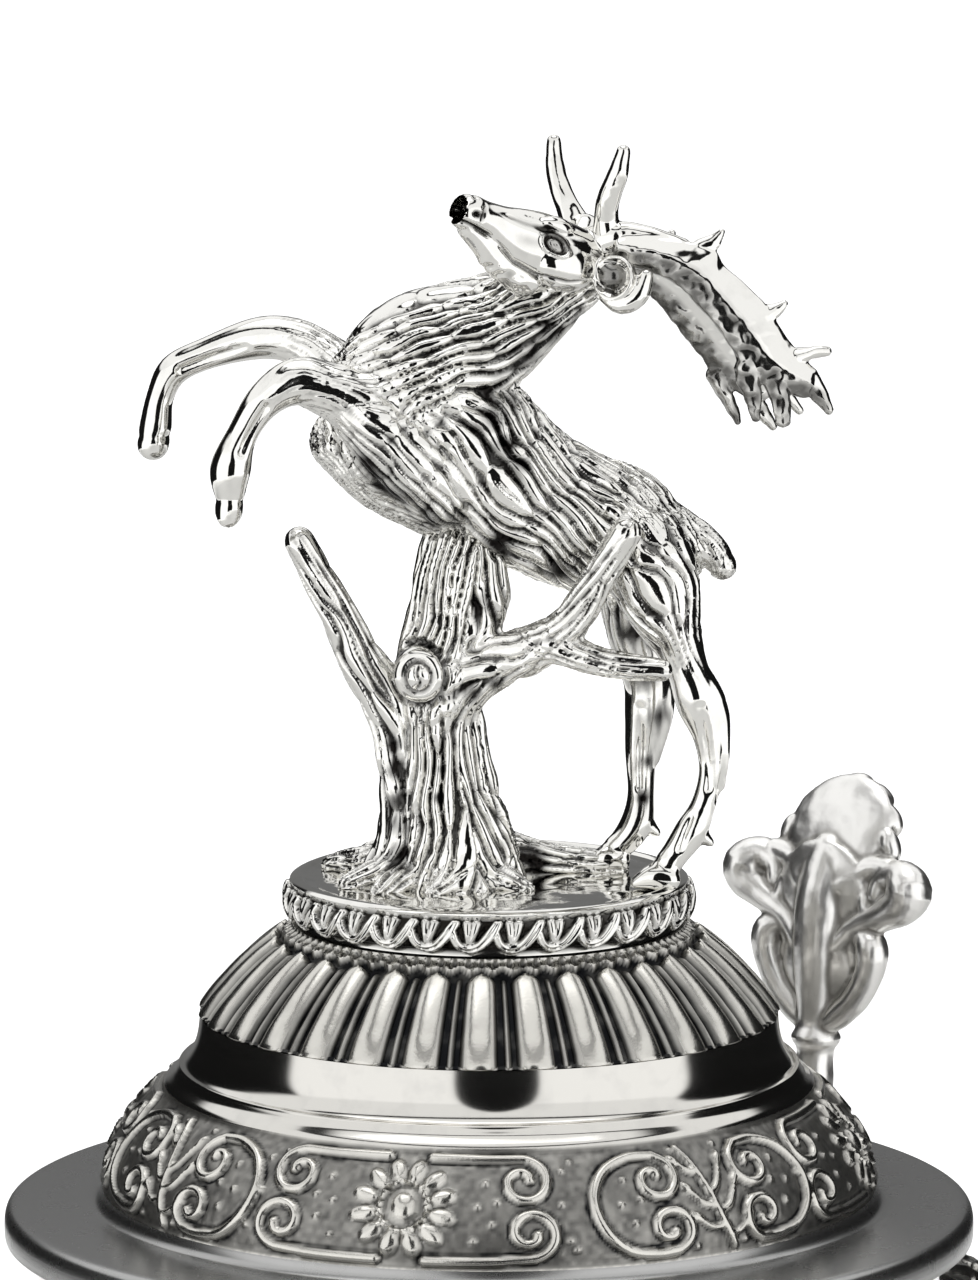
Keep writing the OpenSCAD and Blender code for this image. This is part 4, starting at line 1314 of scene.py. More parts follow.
        # Hollow under the eye, veins on the cheek and a seam along the jaw.
        depth += outside * (pit((11.4, 0.5), (1.6, 0.35), -0.16) + pit((10.2, -1.2), (2.2, 0.7), -0.12)
                            + pit((13, 0.6), (0.9, 0.22), -0.18))
        seam = np.abs(up - np.interp(t, [2, 5, 8, 11, 13.6], [-3, -4.1, -4.3, -3.7, -2.3]))
        depth -= 0.3 * bell(seam, 0, 0.18) * np.clip((14 - t) / 2, 0, 1) * ramp(t, 2, 2)
        rough = lumps(spots, 1.1, 3)
        tuft = np.clip((-up - 4.3) / 0.6, 0, 1) * ramp(t, 2.5, 1.5)
        depth += 0.3 * tuft * rough + 0.03 * lumps(spots, 2.2, 4)
        push(mesh, depth)
        # The inside of the near ear's cup is darkened: painted shade.
        inside = norm(spots - np.array([13, -7.9, 66]), axis=1) < 1.75
        lid = bell(almond, 1.12, 0.26) * np.clip(tilt_up * 1.6 + 0.35, 0, 1) + (almond < 0.8) * 0.45
        kept = np.clip(-depth * 3.2 - 0.12, 0, 1) + lid * (np.abs(side) > 0.5) * (t > 4)
        write_wear_and_painted_shade(mesh, (1 - np.clip(kept, 0, 1)) * np.where(inside, 0.25, 1))
        hand_over(mesh, "stag_head", Body.LID, self.finishes.chased, ["stag_body"], AT_FINIAL, 70)

    def turned_to_head(self) -> Matrix:
        """Turns the X, Y and Z axes to ahead, up and near."""
        return Matrix((self.head.ahead, self.head.up, self.head.near)).transposed()

    @staticmethod
    def ear(work: Forms, centre: Point, opens: Point, radius: float) -> None:
        """Adds a cupped ear.

        Args:
            work: Forms to add to.
            centre: Centre of the cup.
            opens: Direction in which its hollow opens.
            radius: Its radius.
        """
        outline = [(0.02, -0.95), (0.55, -0.8), (0.9, -0.35), (1, 0.1), (0.95, 0.26), (0.84, 0.26), (0.76, 0.05),
                   (0.6, -0.3), (0.34, -0.55), (0.02, -0.64)]
        cup = bmesh.new()
        verts = [cup.verts.new((r * radius, 0, z * radius)) for r, z in outline]
        edges = [cup.edges.new(pair) for pair in zip(verts, verts[1:])]
        bmesh.ops.spin(cup, geom=verts + edges, cent=(0, 0, 0), axis=(0, 0, 1), angle=2 * math.pi, steps=28,
                       use_merge=True)
        bmesh.ops.remove_doubles(cup, verts=[v for v in cup.verts if math.hypot(v.co.x, v.co.y) < 0.1 * radius],
                                 dist=0.12 * radius)
        turned = Vector(opens).to_track_quat("Z", "Y").to_matrix().to_4x4()
        bmesh.ops.transform(cup, matrix=Matrix.Translation(centre) @ turned, verts=cup.verts)
        join(work, finished(cup))

    def near_antler(self) -> None:
        """The near antler: brow tine, and a ridged blade with its points."""
        work = bmesh.new()
        swell(work, [(12.6, -4.4, 69.4, 1.7), (14.2, -4.8, 70.2, 1.45), (17, -5.1, 69.9, 1.25),
                     (20.4, -5.4, 69, 1)])
        swell(work, [(12.7, -4.6, 69.6, 1.9, 1.5), (12.4, -5, 71.8, 1.35, 1.1), (12.6, -5.6, 74, 1.25, 1),
                     (13.6, -6.2, 76.8, 1.1, 0.95), (14.2, -6.5, 79.3, 0.75, 0.7)], (1, 0, 0))
        upper = [(12.9, -5.2, 70.6), (15.5, -5.3, 70.8), (18.6, -5.6, 70.2), (22, -5.6, 69.4), (23.8, -5.6, 68.8),
                 (24.8, -5.7, 67.2), (27, -5.8, 65.2), (29.4, -5.9, 62.8), (31, -6, 60.2), (33, -6, 57.6),
                 (35, -6, 55.6)]
        lower = [(13, -5.6, 67.6), (15, -6.3, 67), (17.4, -6.8, 66.4), (19.6, -7.1, 65.4), (21.6, -7.3, 63.6),
                 (23.6, -7.5, 61.4), (25.2, -7.6, 59.2), (26.6, -7.7, 56.8), (28.6, -7.7, 54.8), (31.4, -7.5, 53.6),
                 (34, -6.9, 53)]
        sheet(work, upper, lower, 0.7, 0.85, (-0.2, -1, 0.35))
        for tine in ([(22.4, -5.6, 68.8, 1.1, 0.8), (23.7, -5.5, 69.5, 0.9, 0.6), (24.6, -5.4, 70.6, 0.4)],
                     [(28.8, -5.9, 61.8, 1.3, 0.8), (30.4, -5.8, 62.3, 0.8, 0.6), (31.3, -5.7, 63, 0.42)],
                     [(32.6, -6, 57.4, 1.3, 0.9), (34.6, -5.9, 57.8, 0.8, 0.65), (35.8, -5.8, 57.9, 0.55)],
                     [(33.6, -6.4, 55.2, 1.4, 0.9), (35, -6.5, 53.4, 1, 0.75), (36, -6.5, 51.8, 0.5)],
                     [(30.4, -7.6, 55, 1.4, 0.8), (31, -7.9, 52.4, 1, 0.7), (31.2, -8, 50.6, 0.85, 0.55)],
                     [(27, -7.8, 56.6, 1.3, 0.8), (27.9, -8.1, 53.4, 1, 0.65), (28.2, -8.2, 51, 0.5, 0.42)]):
            swell(work, tine, (1, 0, 0.2))
        self.finish_antler(fuse(work, self.antler_grain, 3), "near", upper, lower)

    def far_antler(self) -> None:
        """The far antler, seen past the head."""
        work = bmesh.new()
        swell(work, [(10.2, -0.6, 69.6, 1.7), (12.4, 1.6, 69, 1.4), (14.6, 3.8, 67.6, 1.3), (17, 5, 66, 1.1)])
        swell(work, [(9.8, 0, 69.6, 1.9, 1.5), (8.6, 1.2, 72, 1.35, 1.1), (7.5, 2.2, 74.6, 1.15, 0.95),
                     (7, 3, 77, 1, 0.85), (6.9, 3.4, 79.3, 0.75, 0.7)], (1, 0, 0))
        upper = [(14.6, 3.6, 68.2), (17.6, 5, 66.9), (21.6, 6, 64.7), (25.6, 7, 60.2), (29, 7.8, 55.4), (32, 8, 51.6)]
        lower = [(14, 4.4, 66), (16.4, 6, 63.2), (18.6, 7, 60.6), (21.6, 8, 56.8), (24.6, 8.6, 53),
                 (28.6, 8.6, 50.2)]
        sheet(work, upper, lower, 0.42, 0.7, (0.2, 1, 0.3))
        for tine in ([(18, 5.2, 66.6, 0.8), (19.1, 6, 67.8, 0.6), (19.6, 6.4, 69, 0.45)],
                     [(24.4, 8.6, 53.4, 1), (25.8, 8.8, 50.6, 0.8), (26.8, 8.8, 48.4, 0.5)],
                     [(28.4, 8.6, 50.8, 0.95), (29.6, 8.6, 49.2, 0.75), (30.6, 8.6, 47.8, 0.5)],
                     [(31, 8, 52, 0.9), (32.4, 8, 50.8, 0.7), (33.4, 8, 49.6, 0.5)],
                     [(26.4, 7.1, 59.4, 0.8), (27.8, 7, 59.9, 0.6), (28.8, 7, 60.6, 0.42)]):
            swell(work, tine, (1, 0, 0.2))
        self.finish_antler(fuse(work, self.antler_grain, 3), "far", upper, lower)

    def finish_antler(self, mesh: Mesh, side: str, upper: Line, lower: Line) -> None:
        """Leaves the lower half of the blade rough from the mould and the upper half smooth, darkens the rough half,
        partly as casting skin and partly as painted shade, and dresses it.

        Args:
            mesh: The fused antler.
            side: "near" or "far".
            upper: Upper edge of the blade.
            lower: Lower edge of the blade.
        """
        spots = read_points(mesh)
        top, low = fair_line(np.array(upper, float), 0.6), fair_line(np.array(lower, float), 0.6)
        to_top = np.min([norm(spots - p, axis=1) for p in top], axis=0)
        to_low = np.min([norm(spots - p, axis=1) for p in low], axis=0)
        share = to_top / (to_top + to_low + 1e-9)
        rough = ramp(share, 0.5, 0.15)
        depth = rough * (0.2 * lumps(spots, 1.6, 6) + 0.12 * lumps(spots, 0.8, 7)) + 0.05 * lumps(spots, 1.1, 8)
        push(mesh, depth)
        # The rough lower half is darkened, most in its pits: partly casting skin, partly painted shade.
        write_wear_and_painted_shade(mesh, 1 - 0.8 * rough * np.clip(0.85 - depth * 4, 0, 1))
        hand_over(mesh, "stag_antler_" + side, Body.LID, self.finishes.chased, ["antler_" + side],
                  AT_FINIAL, 70)


@dataclass
class Stump:
    """The broken tree behind the stag, rooted on the plinth."""

    finishes: Finishes
    grain: float = 0.24

    TRUNK = [(-3.4, -2, -0.6, 7.4), (-3.7, -2, 3.5, 6.4), (-4.4, -2, 9, 5.4), (-5, -2, 13, 4.8),
             (-5.2, -2, 17, 4.6), (-5.2, -2, 22.5, 4.9), (-4.2, -1.7, 28, 4.6), (-3, -1.2, 35.5, 4.4)]
    LEFT = [(-10.4, -2.6, 0.4, 3.6), (-9.4, -2.6, 4, 2.8), (-9.2, -2.7, 9, 2.5), (-9.6, -2.7, 15, 2.5),
            (-10.4, -2.7, 18.4, 2.6), (-12.1, -2.7, 21.6, 2.6), (-14, -2.9, 24.8, 2.4), (-16.3, -3.1, 29.6, 1.95),
            (-18.4, -3.3, 33.6, 1.75), (-20.2, -3.5, 37.1, 1.65)]
    RIGHT = [(-4.4, -3.4, 20.5, 3.8), (-2.2, -4, 22.6, 3.3), (1.6, -5.2, 24.8, 2.7), (5, -6.8, 26.2, 2.5),
             (8.4, -8.4, 29, 2.1), (11.4, -9.7, 33.8, 1.8), (14.5, -11, 39.3, 1.7)]
    TWIG = [(6.4, -7.6, 27, 2.1), (10, -8.9, 25.6, 1.65), (14, -9.9, 24.8, 1.45), (18.3, -10.4, 24.4, 1.25)]
    ROOTS = [[(-8, -3, 2.2, 3), (-12, -4.5, 1, 2), (-15, -6, 0.3, 1.1)],
             [(-7.5, 1, 2.6, 3), (-12.5, 3, 1.2, 2.1), (-17, 5.5, 0.3, 1.1)],
             [(-1, -4.5, 1.6, 2.6), (2.4, -6.6, 0.6, 1.5), (4, -7.4, 0.2, 0.9)],
             [(0, 1, 2.2, 3.2), (6, 3, 1.1, 2.2), (13.6, 4.6, 0.3, 1.5)],
             [(-4, -6, 1.4, 2.7), (-5, -8.4, 0.5, 1.6), (-6, -9.8, 0.1, 0.9)],
             [(-4, 4, 1.6, 2.8), (-4, 8.4, 0.6, 1.6), (-3, 11.6, 0.1, 0.9)],
             [(-8, -5, 1.4, 1.8), (-11, -8, 0.4, 1.3), (-12, -9.6, 0.1, 0.8)]]

    # Painted shade between the two trunks, down the trunk's right side and under the branch.
    PAINTED_SHADE_SPOTS = [(-10.2, -4.8, 15.5, 1.2), (-10.1, -5.2, 12.5, 1.4), (-10, -5.4, 9.5, 1.5), (-10, -5.8, 6.5, 1.6),
             (-9.8, -6.2, 3.8, 1.8), (-0.4, -4.8, 14, 1), (0.6, -5, 11, 1.4), (1.4, -5.4, 8, 1.6),
             (2.6, -5.6, 5, 1.8), (-1.8, -6.6, 21.6, 1.2), (0.6, -6.8, 22.4, 1), (-5.4, -7, 10, 0.8),
             (-5.2, -7.2, 13, 0.8),
             (-13, -1, 1.5, 2.4), (5, 0, 1.8, 2), (-0.6, -4.6, 31, 1.2)]

    def build(self) -> None:
        """Models the stump, combs the bark and cuts the knot."""
        work = bmesh.new()
        swell(work, self.TRUNK, sides=40)
        for line in (self.LEFT, self.RIGHT, self.TWIG, *self.ROOTS):
            swell(work, line)
        swell(work, [(-1, -4, 27.5, 2.2), (0.2, -4, 31, 2), (0.4, -3.4, 34.5, 1.6)])
        swell(work, [(-6.6, -5, 23.4, 3), (-7.2, -6.2, 23.4, 2.75)])
        mesh = fuse(work, self.grain, 6)
        spots = read_points(mesh)
        spots[:, 2] = np.maximum(spots[:, 2], -0.25)
        write_points(mesh, spots)
        bark = 1.5
        flows = [
            Flow(self.TRUNK, (-0.4, 1, 0), bark, 13, (1.3, 1), 0.05, 21),
            Flow(self.LEFT, (-0.3, 1, 0), bark, 12, (1, 0.5), -0.1, 22),
            Flow(self.RIGHT, (0, 1, 0.4), bark, 9, (0.9, 0.5), 0.08, 23),
            Flow(self.TWIG, (0, 1, 0.4), 1, 8, (0.6, 0.4), 0, 24),
            *[Flow(line, (0, 0, 1), 1.05, 7, (0.85, 0.5), 0, 30 + n) for n, line in enumerate(self.ROOTS)],
        ]
        off = spots - np.array([-7.5, -8, 23.3])
        knot = np.where(off[:, 1] < 3.6, np.sqrt((off[:, 0] / 2.5) ** 2 + (off[:, 2] / 2.95) ** 2), 9)
        ends = np.ones(len(spots))
        for tip, reach in (((-20.2, -3.5, 37.1), 2.6), ((14.5, -11, 39.3), 2.6), ((18.3, -10.4, 24.4), 2)):
            ends = np.minimum(ends, np.clip(norm(spots - np.array(tip), axis=1) / reach - 0.55, 0.25, 1))
        comb(mesh, flows, 0.7, ramp(knot, 1, 0.25) * ends, self.PAINTED_SHADE_SPOTS)
        rim = 0.5 * bell(knot, 0.84, 0.2)
        cup = -0.4 * bell(knot, 0.58, 0.07)
        core = 0.28 * np.clip(1 - (knot / 0.55) ** 2, 0, 1)
        moat = -0.45 * bell(knot, 1.12, 0.12)
        slit = -0.45 * np.exp(-((off[:, 0] + 0.15 * np.sin(off[:, 2] * 3)) / 0.16) ** 2) * (knot < 0.42)
        push(mesh, rim + cup + core + moat + slit)
        # The knot's cup, moat and slit are darkened: painted shade.
        layer = mesh.attributes["rubbed"].data
        shade = np.empty(len(spots), np.float32)
        layer.foreach_get("value", shade)
        write_wear_and_painted_shade(mesh, shade * (1 - np.clip(-(cup + moat + slit) * 2.2, 0, 0.95)))
        hand_over(mesh, "stump_bark", Body.LID, self.finishes.coat, ["tree_stump"], AT_FINIAL, 75)


@dataclass
class Plinth:
    """The round plinth with its twisted ring of leaves and polished ground."""

    finishes: Finishes
    repeats: int = 30
    radius: float = 22.1

    def ring(self, run: Array, along: Array, angle: Array) -> Lifted:
        """Raises twisted strands low on the ring and small upright leaves above them.

        Args:
            run: Number of each spot's run.
            along: Place of each spot along its run.
            angle: Direction of each spot from the axis.

        Returns:
            Heights and how far each spot is rubbed back.
        """
        front = run == 1
        pitch = 2 * math.pi * self.radius / self.repeats
        turned = angle[front] / (2 * np.pi) * self.repeats
        band = Relief((turned - np.rint(turned)) * pitch, along[front])
        s = along[front] / self.ring_length
        for shift in (-1, 0, 1):
            u = shift * pitch
            # A leaf of two tongues stands in each loop of the twist.
            for lean in (-0.34, 0.34):
                tongue = [[u + 0.2 + lean * 0.5, 2], [u + 0.35 + lean, 3.1], [u + 0.45 + lean * 1.5, 4.3]]
                band.stroke(np.array(tongue), (0.34, 0.62), 0.7)
            # Two cords side by side: down, round the foot and up to the right over the next loop.
            for inset in (0, 0.62):
                cord = fair_line(np.array([
                    [u - 1.75 + inset * 0.6, 3.0 + inset * 0.2], [u - 1.35 + inset * 0.5, 1.9 + inset * 0.4],
                    [u - 0.3, 1.05 + inset * 0.8], [u + 0.9 - inset * 0.1, 1.15 + inset * 0.9],
                    [u + 2.1 - inset * 0.5, 2.1 + inset * 0.8], [u + 3.0 - inset * 0.7, 3.3 + inset * 0.5],
                    [u + 3.5 - inset * 0.6, 4.3]]), 0.2)
                band.stroke(cord, (0.3, 0.42), 0.98)
        rim = ramp(s, 0.76, 0.05)
        foot = np.clip(s / 0.05, 0, 1)
        height = np.maximum(band.height, rim * 0.95) * foot
        lift, rubbed = np.zeros(len(run)), np.ones(len(run))
        lift[front] = (height - 0.7) * 0.85
        rubbed[front] = np.clip(height * 1.4 - 0.1, 0, 1)
        return lift, rubbed

    def ground(self, run: Array, along: Array, angle: Array) -> Lifted:
        """Adds faint unevenness in the cast ground to the ring's relief.

        Args:
            run: Number of each spot's run.
            along: Place of each spot along its run.
            angle: Direction of each spot from the axis.

        Returns:
            Heights and how far each spot is rubbed back.
        """
        lift, rubbed = self.ring(run, along, angle)
        radius = 19.0 - along
        x, y = radius * np.cos(angle), radius * np.sin(angle)
        uneven = (cloud(x / 4, y / 4, 8) - 0.5) * 0.22 + (cloud(x / 1.7, y / 1.7, 9) - 0.5) * 0.05
        inside = run == 3
        return np.where(inside, uneven * np.clip(along / 2, 0, 1), lift), rubbed

    def build(self) -> None:
        """Turns the plinth with its relief."""
        r = self.radius
        outline = Outline([
            Run([(2.3, -4.5), (r - 1.3, -4.5)], 1, False),
            Run([(r - 0.75, -4.1), (r - 0.2, -3.2), (r, -2.2), (r - 0.05, -1.3), (r - 0.45, -0.45), (r - 1.1, 0.05),
                 (r - 1.9, 0.2)], 0.15),
            Run([(r - 2.6, 0.1), (19, 0)], 0.25),
            Run([(2.3, 0)], 0.5, False),
            Run([(2.3, -4.5)], 0.9, False),
        ])
        self.ring_length = outline.length(1)
        hand_over(turn(outline, self.repeats * 34, self.ground), "plinth_with_leaf_ring", Body.LID,
                  self.finishes.chased, ["finial_plinth"], AT_FINIAL, 60)


# ---- hinge furniture

@dataclass
class ThumbLift:
    """The cast thumb lift: a scallop over paired scrolls, leaning back over the hinge.

    Places are given as side, height above the flange and distance in front of the lift's own curve.
    """

    finishes: Finishes
    grain: float = 0.22
    base: float = 52.9

    def lean(self, height: float) -> float:
        """Distance of the lift's middle from the axis at a height."""
        return self.base + float(np.interp(height, [0, 8, 20, 27, 31, 35, 39], [0, 0.8, 1.4, 2.4, 4.2, 6.6, 8.6]))

    def at(self, side: float, height: float, out: float = 0) -> Vector:
        """Place on the lift in the lid's frame."""
        return Vector((self.lean(height) + out, side, height))

    def line(self, table: Line) -> list[Point]:
        """Turns side, height, out and half width into points for a form."""
        return [(*self.at(*spot[:3]), *spot[3:]) for spot in table]

    def build(self) -> None:
        """Models both halves, the scallop and the stem."""
        work = bmesh.new()
        swell(work, self.line([(0, 2, -0.4, 2.6), (0, 5, 0, 2.3), (0, 8.2, 0, 2.1), (0, 9.6, 0, 2.9),
                               (0, 11.4, 0, 2.1), (0, 15, 0, 2.5), (0, 20, 0, 3), (0, 26, 0, 3.2),
                               (0, 30, 0, 2.8)]))
        tables = (
            # Lower C-scroll, its knob and its leaf.
            [(1.2, 11.2, 0, 1.3), (3.4, 12.6, 0, 1.5), (6, 15.2, 0, 1.6), (7.6, 18.4, 0, 1.7), (7.6, 20.8, 0, 1.9),
             (5.8, 21.6, 0.4, 1.4), (4.6, 20.2, 0.6, 1.2), (5, 18.6, 0.6, 1.1)],
            [(1.8, 14.5, 0.5, 1.4), (3.2, 17.5, 0.7, 1.3), (3, 20.2, 0.6, 1)],
            # Upper C-scroll ending in the big knob.
            [(2, 19.6, 0, 1.5), (5, 22.6, 0.2, 1.5), (8.6, 24.4, 0.2, 1.8), (11.4, 26, 0, 2.3),
             (12, 27.6, 0, 2.7), (10.2, 28.8, 0.2, 2.1), (8, 28.2, 0.4, 1.6), (7.4, 26.6, 0.4, 1.3)],
            [(2.6, 27, 0.2, 2), (5.6, 29, 0.2, 1.7), (8.4, 29.6, 0, 1.3)],
            [(6.4, 24.8, 0.3, 1.3), (5.6, 27, 0.4, 1.2), (4, 28.4, 0.3, 1.2)])
        for side in (-1, 1):
            for table in tables:
                swell(work, self.line([(side * across, *rest) for across, *rest in table]), (1, 0, 0), 0.5, 18)
        # A plate fills in behind the scrolls and the scallop.
        bead(work, self.at(0, 25.5), (1.5, 6.6, 6.6))
        bead(work, self.at(0, 33, -0.4), (1.6, 7.2, 6.4), Matrix.Rotation(0.5, 3, "Y"))
        bead(work, self.at(0, 18), (1.5, 5.2, 5))
        ribs = 9
        for k in range(ribs):
            spread = math.radians((k - (ribs - 1) / 2) * 24.5)
            reach = 8.9 - 0.6 * abs(math.sin(spread))
            table = [(math.sin(spread) * reach * f, 29.6 + math.cos(spread) * reach * f * 0.98, bulge, 1.2, half)
                     for f, half, bulge in ((0.12, 0.9, 0.6), (0.45, 1.5, 1), (0.75, 2.1, 0.9), (0.92, 2.1, 0.3))]
            swell(work, self.line(table), (1, 0, 0), 0.5, 16)
        mesh = fuse(work, self.grain, 5)
        push(mesh, 0.06 * lumps(read_points(mesh), 1.6, 11))
        # Creases are darkened: partly the casting's black, partly painted shade.
        write_wear_and_painted_shade(mesh, hollow_shade(mesh))
        hand_over(mesh, "thumb_lift_scallop", Body.LID, self.finishes.worn, ["thumb_lift"], AT_LID, 75)


def hollow_shade(mesh: Mesh, gain: float = 2.4) -> Array:
    """Finds the creases of a casting, to darken them: partly the black that stays there, partly painted shade.

    Args:
        mesh: Mesh in millimetres.
        gain: Strength of the effect.

    Returns:
        1 on open surfaces, falling to 0 in creases.
    """
    spots, normals = read_points(mesh), read_points(mesh, True)
    pairs = np.empty(len(mesh.edges) * 2, np.int64)
    mesh.edges.foreach_get("vertices", pairs)
    pairs = pairs.reshape(-1, 2)
    span = spots[pairs[:, 1]] - spots[pairs[:, 0]]
    size = norm(span, axis=1) + 1e-9
    bend = np.einsum("ij,ij->i", span / size[:, None], normals[pairs[:, 1]] - normals[pairs[:, 0]]) / size
    count = np.zeros(len(spots)) + 1e-9
    curve = np.zeros(len(spots))
    for column in (0, 1):
        np.add.at(curve, pairs[:, column], bend)
        np.add.at(count, pairs[:, column], 1)
    curve /= count
    for _ in range(4):
        blended, count = curve.copy(), np.ones(len(spots))
        for a, b in ((0, 1), (1, 0)):
            np.add.at(blended, pairs[:, a], curve[pairs[:, b]])
            np.add.at(count, pairs[:, a], 1)
        curve = blended / count
    return np.clip(1 + curve * gain, 0, 1)


@dataclass
class HingeFurniture:
    """The hinge below the lid's flange, the strap over the flange and the bosses of the handle."""

    finishes: Finishes
    knuckle: float = 3.6
    strap_half: float = 4.0
    inner: float = 4.3
    outer: float = 9.0
    seat: float = 164.0
    seat_thick: float = 4.0
    boss_face: float = 55.0

    def build(self) -> None:
        """Builds the strap, the block and the bosses."""
        self.strap()
        self.block()
        self.bosses()

    @staticmethod
    def slab(work: Forms, low: Point, high: Point, soft: float = 0.5) -> None:
        """Adds a box with rounded edges.

        Args:
            work: Forms to add to.
            low: Its lowest corner.
            high: Its highest corner.
            soft: Size of the rounding.
        """
        box = bmesh.new()
        bmesh.ops.create_cube(box, size=1.0)
        size = Vector(high) - Vector(low)
        middle = (Vector(high) + Vector(low)) / 2
        bmesh.ops.transform(box, matrix=Matrix.Translation(middle) @ Matrix.Diagonal((*size, 1)), verts=box.verts)
        bmesh.ops.bevel(box, geom=list(box.edges), offset=soft, segments=3, profile=0.5, affect="EDGES", material=-1)
        join(work, finished(box))

    def barrel(self, work: Forms, start: float, end: float) -> None:
        """Adds a knuckle with eased ends round the hinge's axis.

        Args:
            work: Forms to add to.
            start: Where it starts along the axis.
            end: Where it ends.
        """
        r, ease, bore = self.knuckle, 0.35, 1.6
        outline = Outline([
            Run([(bore, start), (r - ease, start)], 0.5, False),
            Run([(r - 0.1, start + 0.1), (r, start + ease)], 0.15),
            Run([(r, end - ease)], 0.5, False),
            Run([(r - 0.1, end - 0.1), (r - ease, end)], 0.15),
            Run([(bore, end)], 0.5, False),
            Run([(bore, start)], 0.5, False),
        ])
        mesh = turn(outline, 72)
        mesh.transform(Matrix.Translation((HINGE_X, 0, HINGE_Z)) @ Matrix.Rotation(-math.pi / 2, 4, "X"))
        join(work, mesh)

    def strap(self) -> None:
        """The strap from under the relief band down to the lid's knuckle, with its turned disc."""
        work = bmesh.new()
        half, top = self.strap_half, LID_Z + 2.6
        bar = bmesh.new()
        side = [(42.6, LID_Z), (HINGE_X - 5.6, LID_Z), (HINGE_X - 5.6, HINGE_Z - 1), (HINGE_X, HINGE_Z - 1),
                (HINGE_X, HINGE_Z + 5), (HINGE_X - 5.3, top), (42.6, top)]
        face = bar.faces.new([bar.verts.new((x, -half, z)) for x, z in side])
        made = bmesh.ops.extrude_face_region(bar, geom=[face])["geom"]
        bmesh.ops.translate(bar, vec=(0, 2 * half, 0), verts=[v for v in made if isinstance(v, bmesh.types.BMVert)])
        bmesh.ops.recalc_face_normals(bar, faces=bar.faces)
        bmesh.ops.bevel(bar, geom=list(bar.edges), offset=0.5, segments=3, profile=0.5, affect="EDGES", material=-1)
        join(work, finished(bar))
        self.barrel(work, -half, half)
        hand_over(finished(work), "lid_strap_bar", Body.LID, self.finishes.fitting, ["lid_strap"])
        disc = Outline([
            Run([(0.4, 2.55), (5.4, 2.55)], 0.8, False),
            Run([(6.1, 2.7), (6.5, 3.1), (6.3, 3.6), (5.6, 3.8)], 0.2),
            Run([(4.4, 3.5), (0.4, 3.5)], 0.4),
            Run([(0.4, 2.55)], 0.4, False),
        ])
        hand_over(turn(disc, 96), "lid_strap_disc", Body.LID, self.finishes.fitting, ["lid_strap"],
                  Matrix.Translation((48.6, 0, LID_Z)), 40)

    def block(self) -> None:
        """The seat with its two arms and fixed knuckles."""
        work = bmesh.new()
        left = self.boss_face + 0.2
        top = self.seat + self.seat_thick
        self.slab(work, (left, -self.outer, self.seat), (left + 10.4, self.outer, top), 0.6)
        for side in (-1, 1):
            near, far = sorted((side * self.inner, side * self.outer))
            self.slab(work, (HINGE_X - 3, near, top - 1), (HINGE_X + 3, far, HINGE_Z), 0.3)
            self.barrel(work, near, far)
        hand_over(finished(work), "hinge_block_casting", Body.VESSEL, self.finishes.fitting,
                  ["hinge_block"])

    def bosses(self) -> None:
        """The moulded bosses between the drum and the handle."""
        face = self.boss_face
        for name, height, r in (("handle_upper_boss", 156, 8.6), ("handle_lower_boss", 54, 8)):
            inside = Vessel.wall_radius(height) - 4.0
            outline = Outline([
            Run([(0.4, inside), (r - 0.4, inside)], 1, False),
            Run([(r - 0.4, face - 4.4)], 0.8, False),
            Run([(r, face - 3.9), (r, face - 3.1), (r - 0.5, face - 2.6)], 0.15),
            Run([(r - 1, face - 1.7), (r - 0.7, face - 0.5), (r - 1.1, face)], 0.2),
            Run([(0.4, face)], 0.8, False),
            Run([(0.4, inside)], 1, False),
        ])
            mesh = turn(outline, 96)
            mesh.transform(Matrix.Translation((0, 0, height)) @ Matrix.Rotation(math.pi / 2, 4, "Y"))
            hand_over(mesh, name + "_turning", Body.VESSEL, self.finishes.fitting, [name], sharp=40)


# ---- the vessel

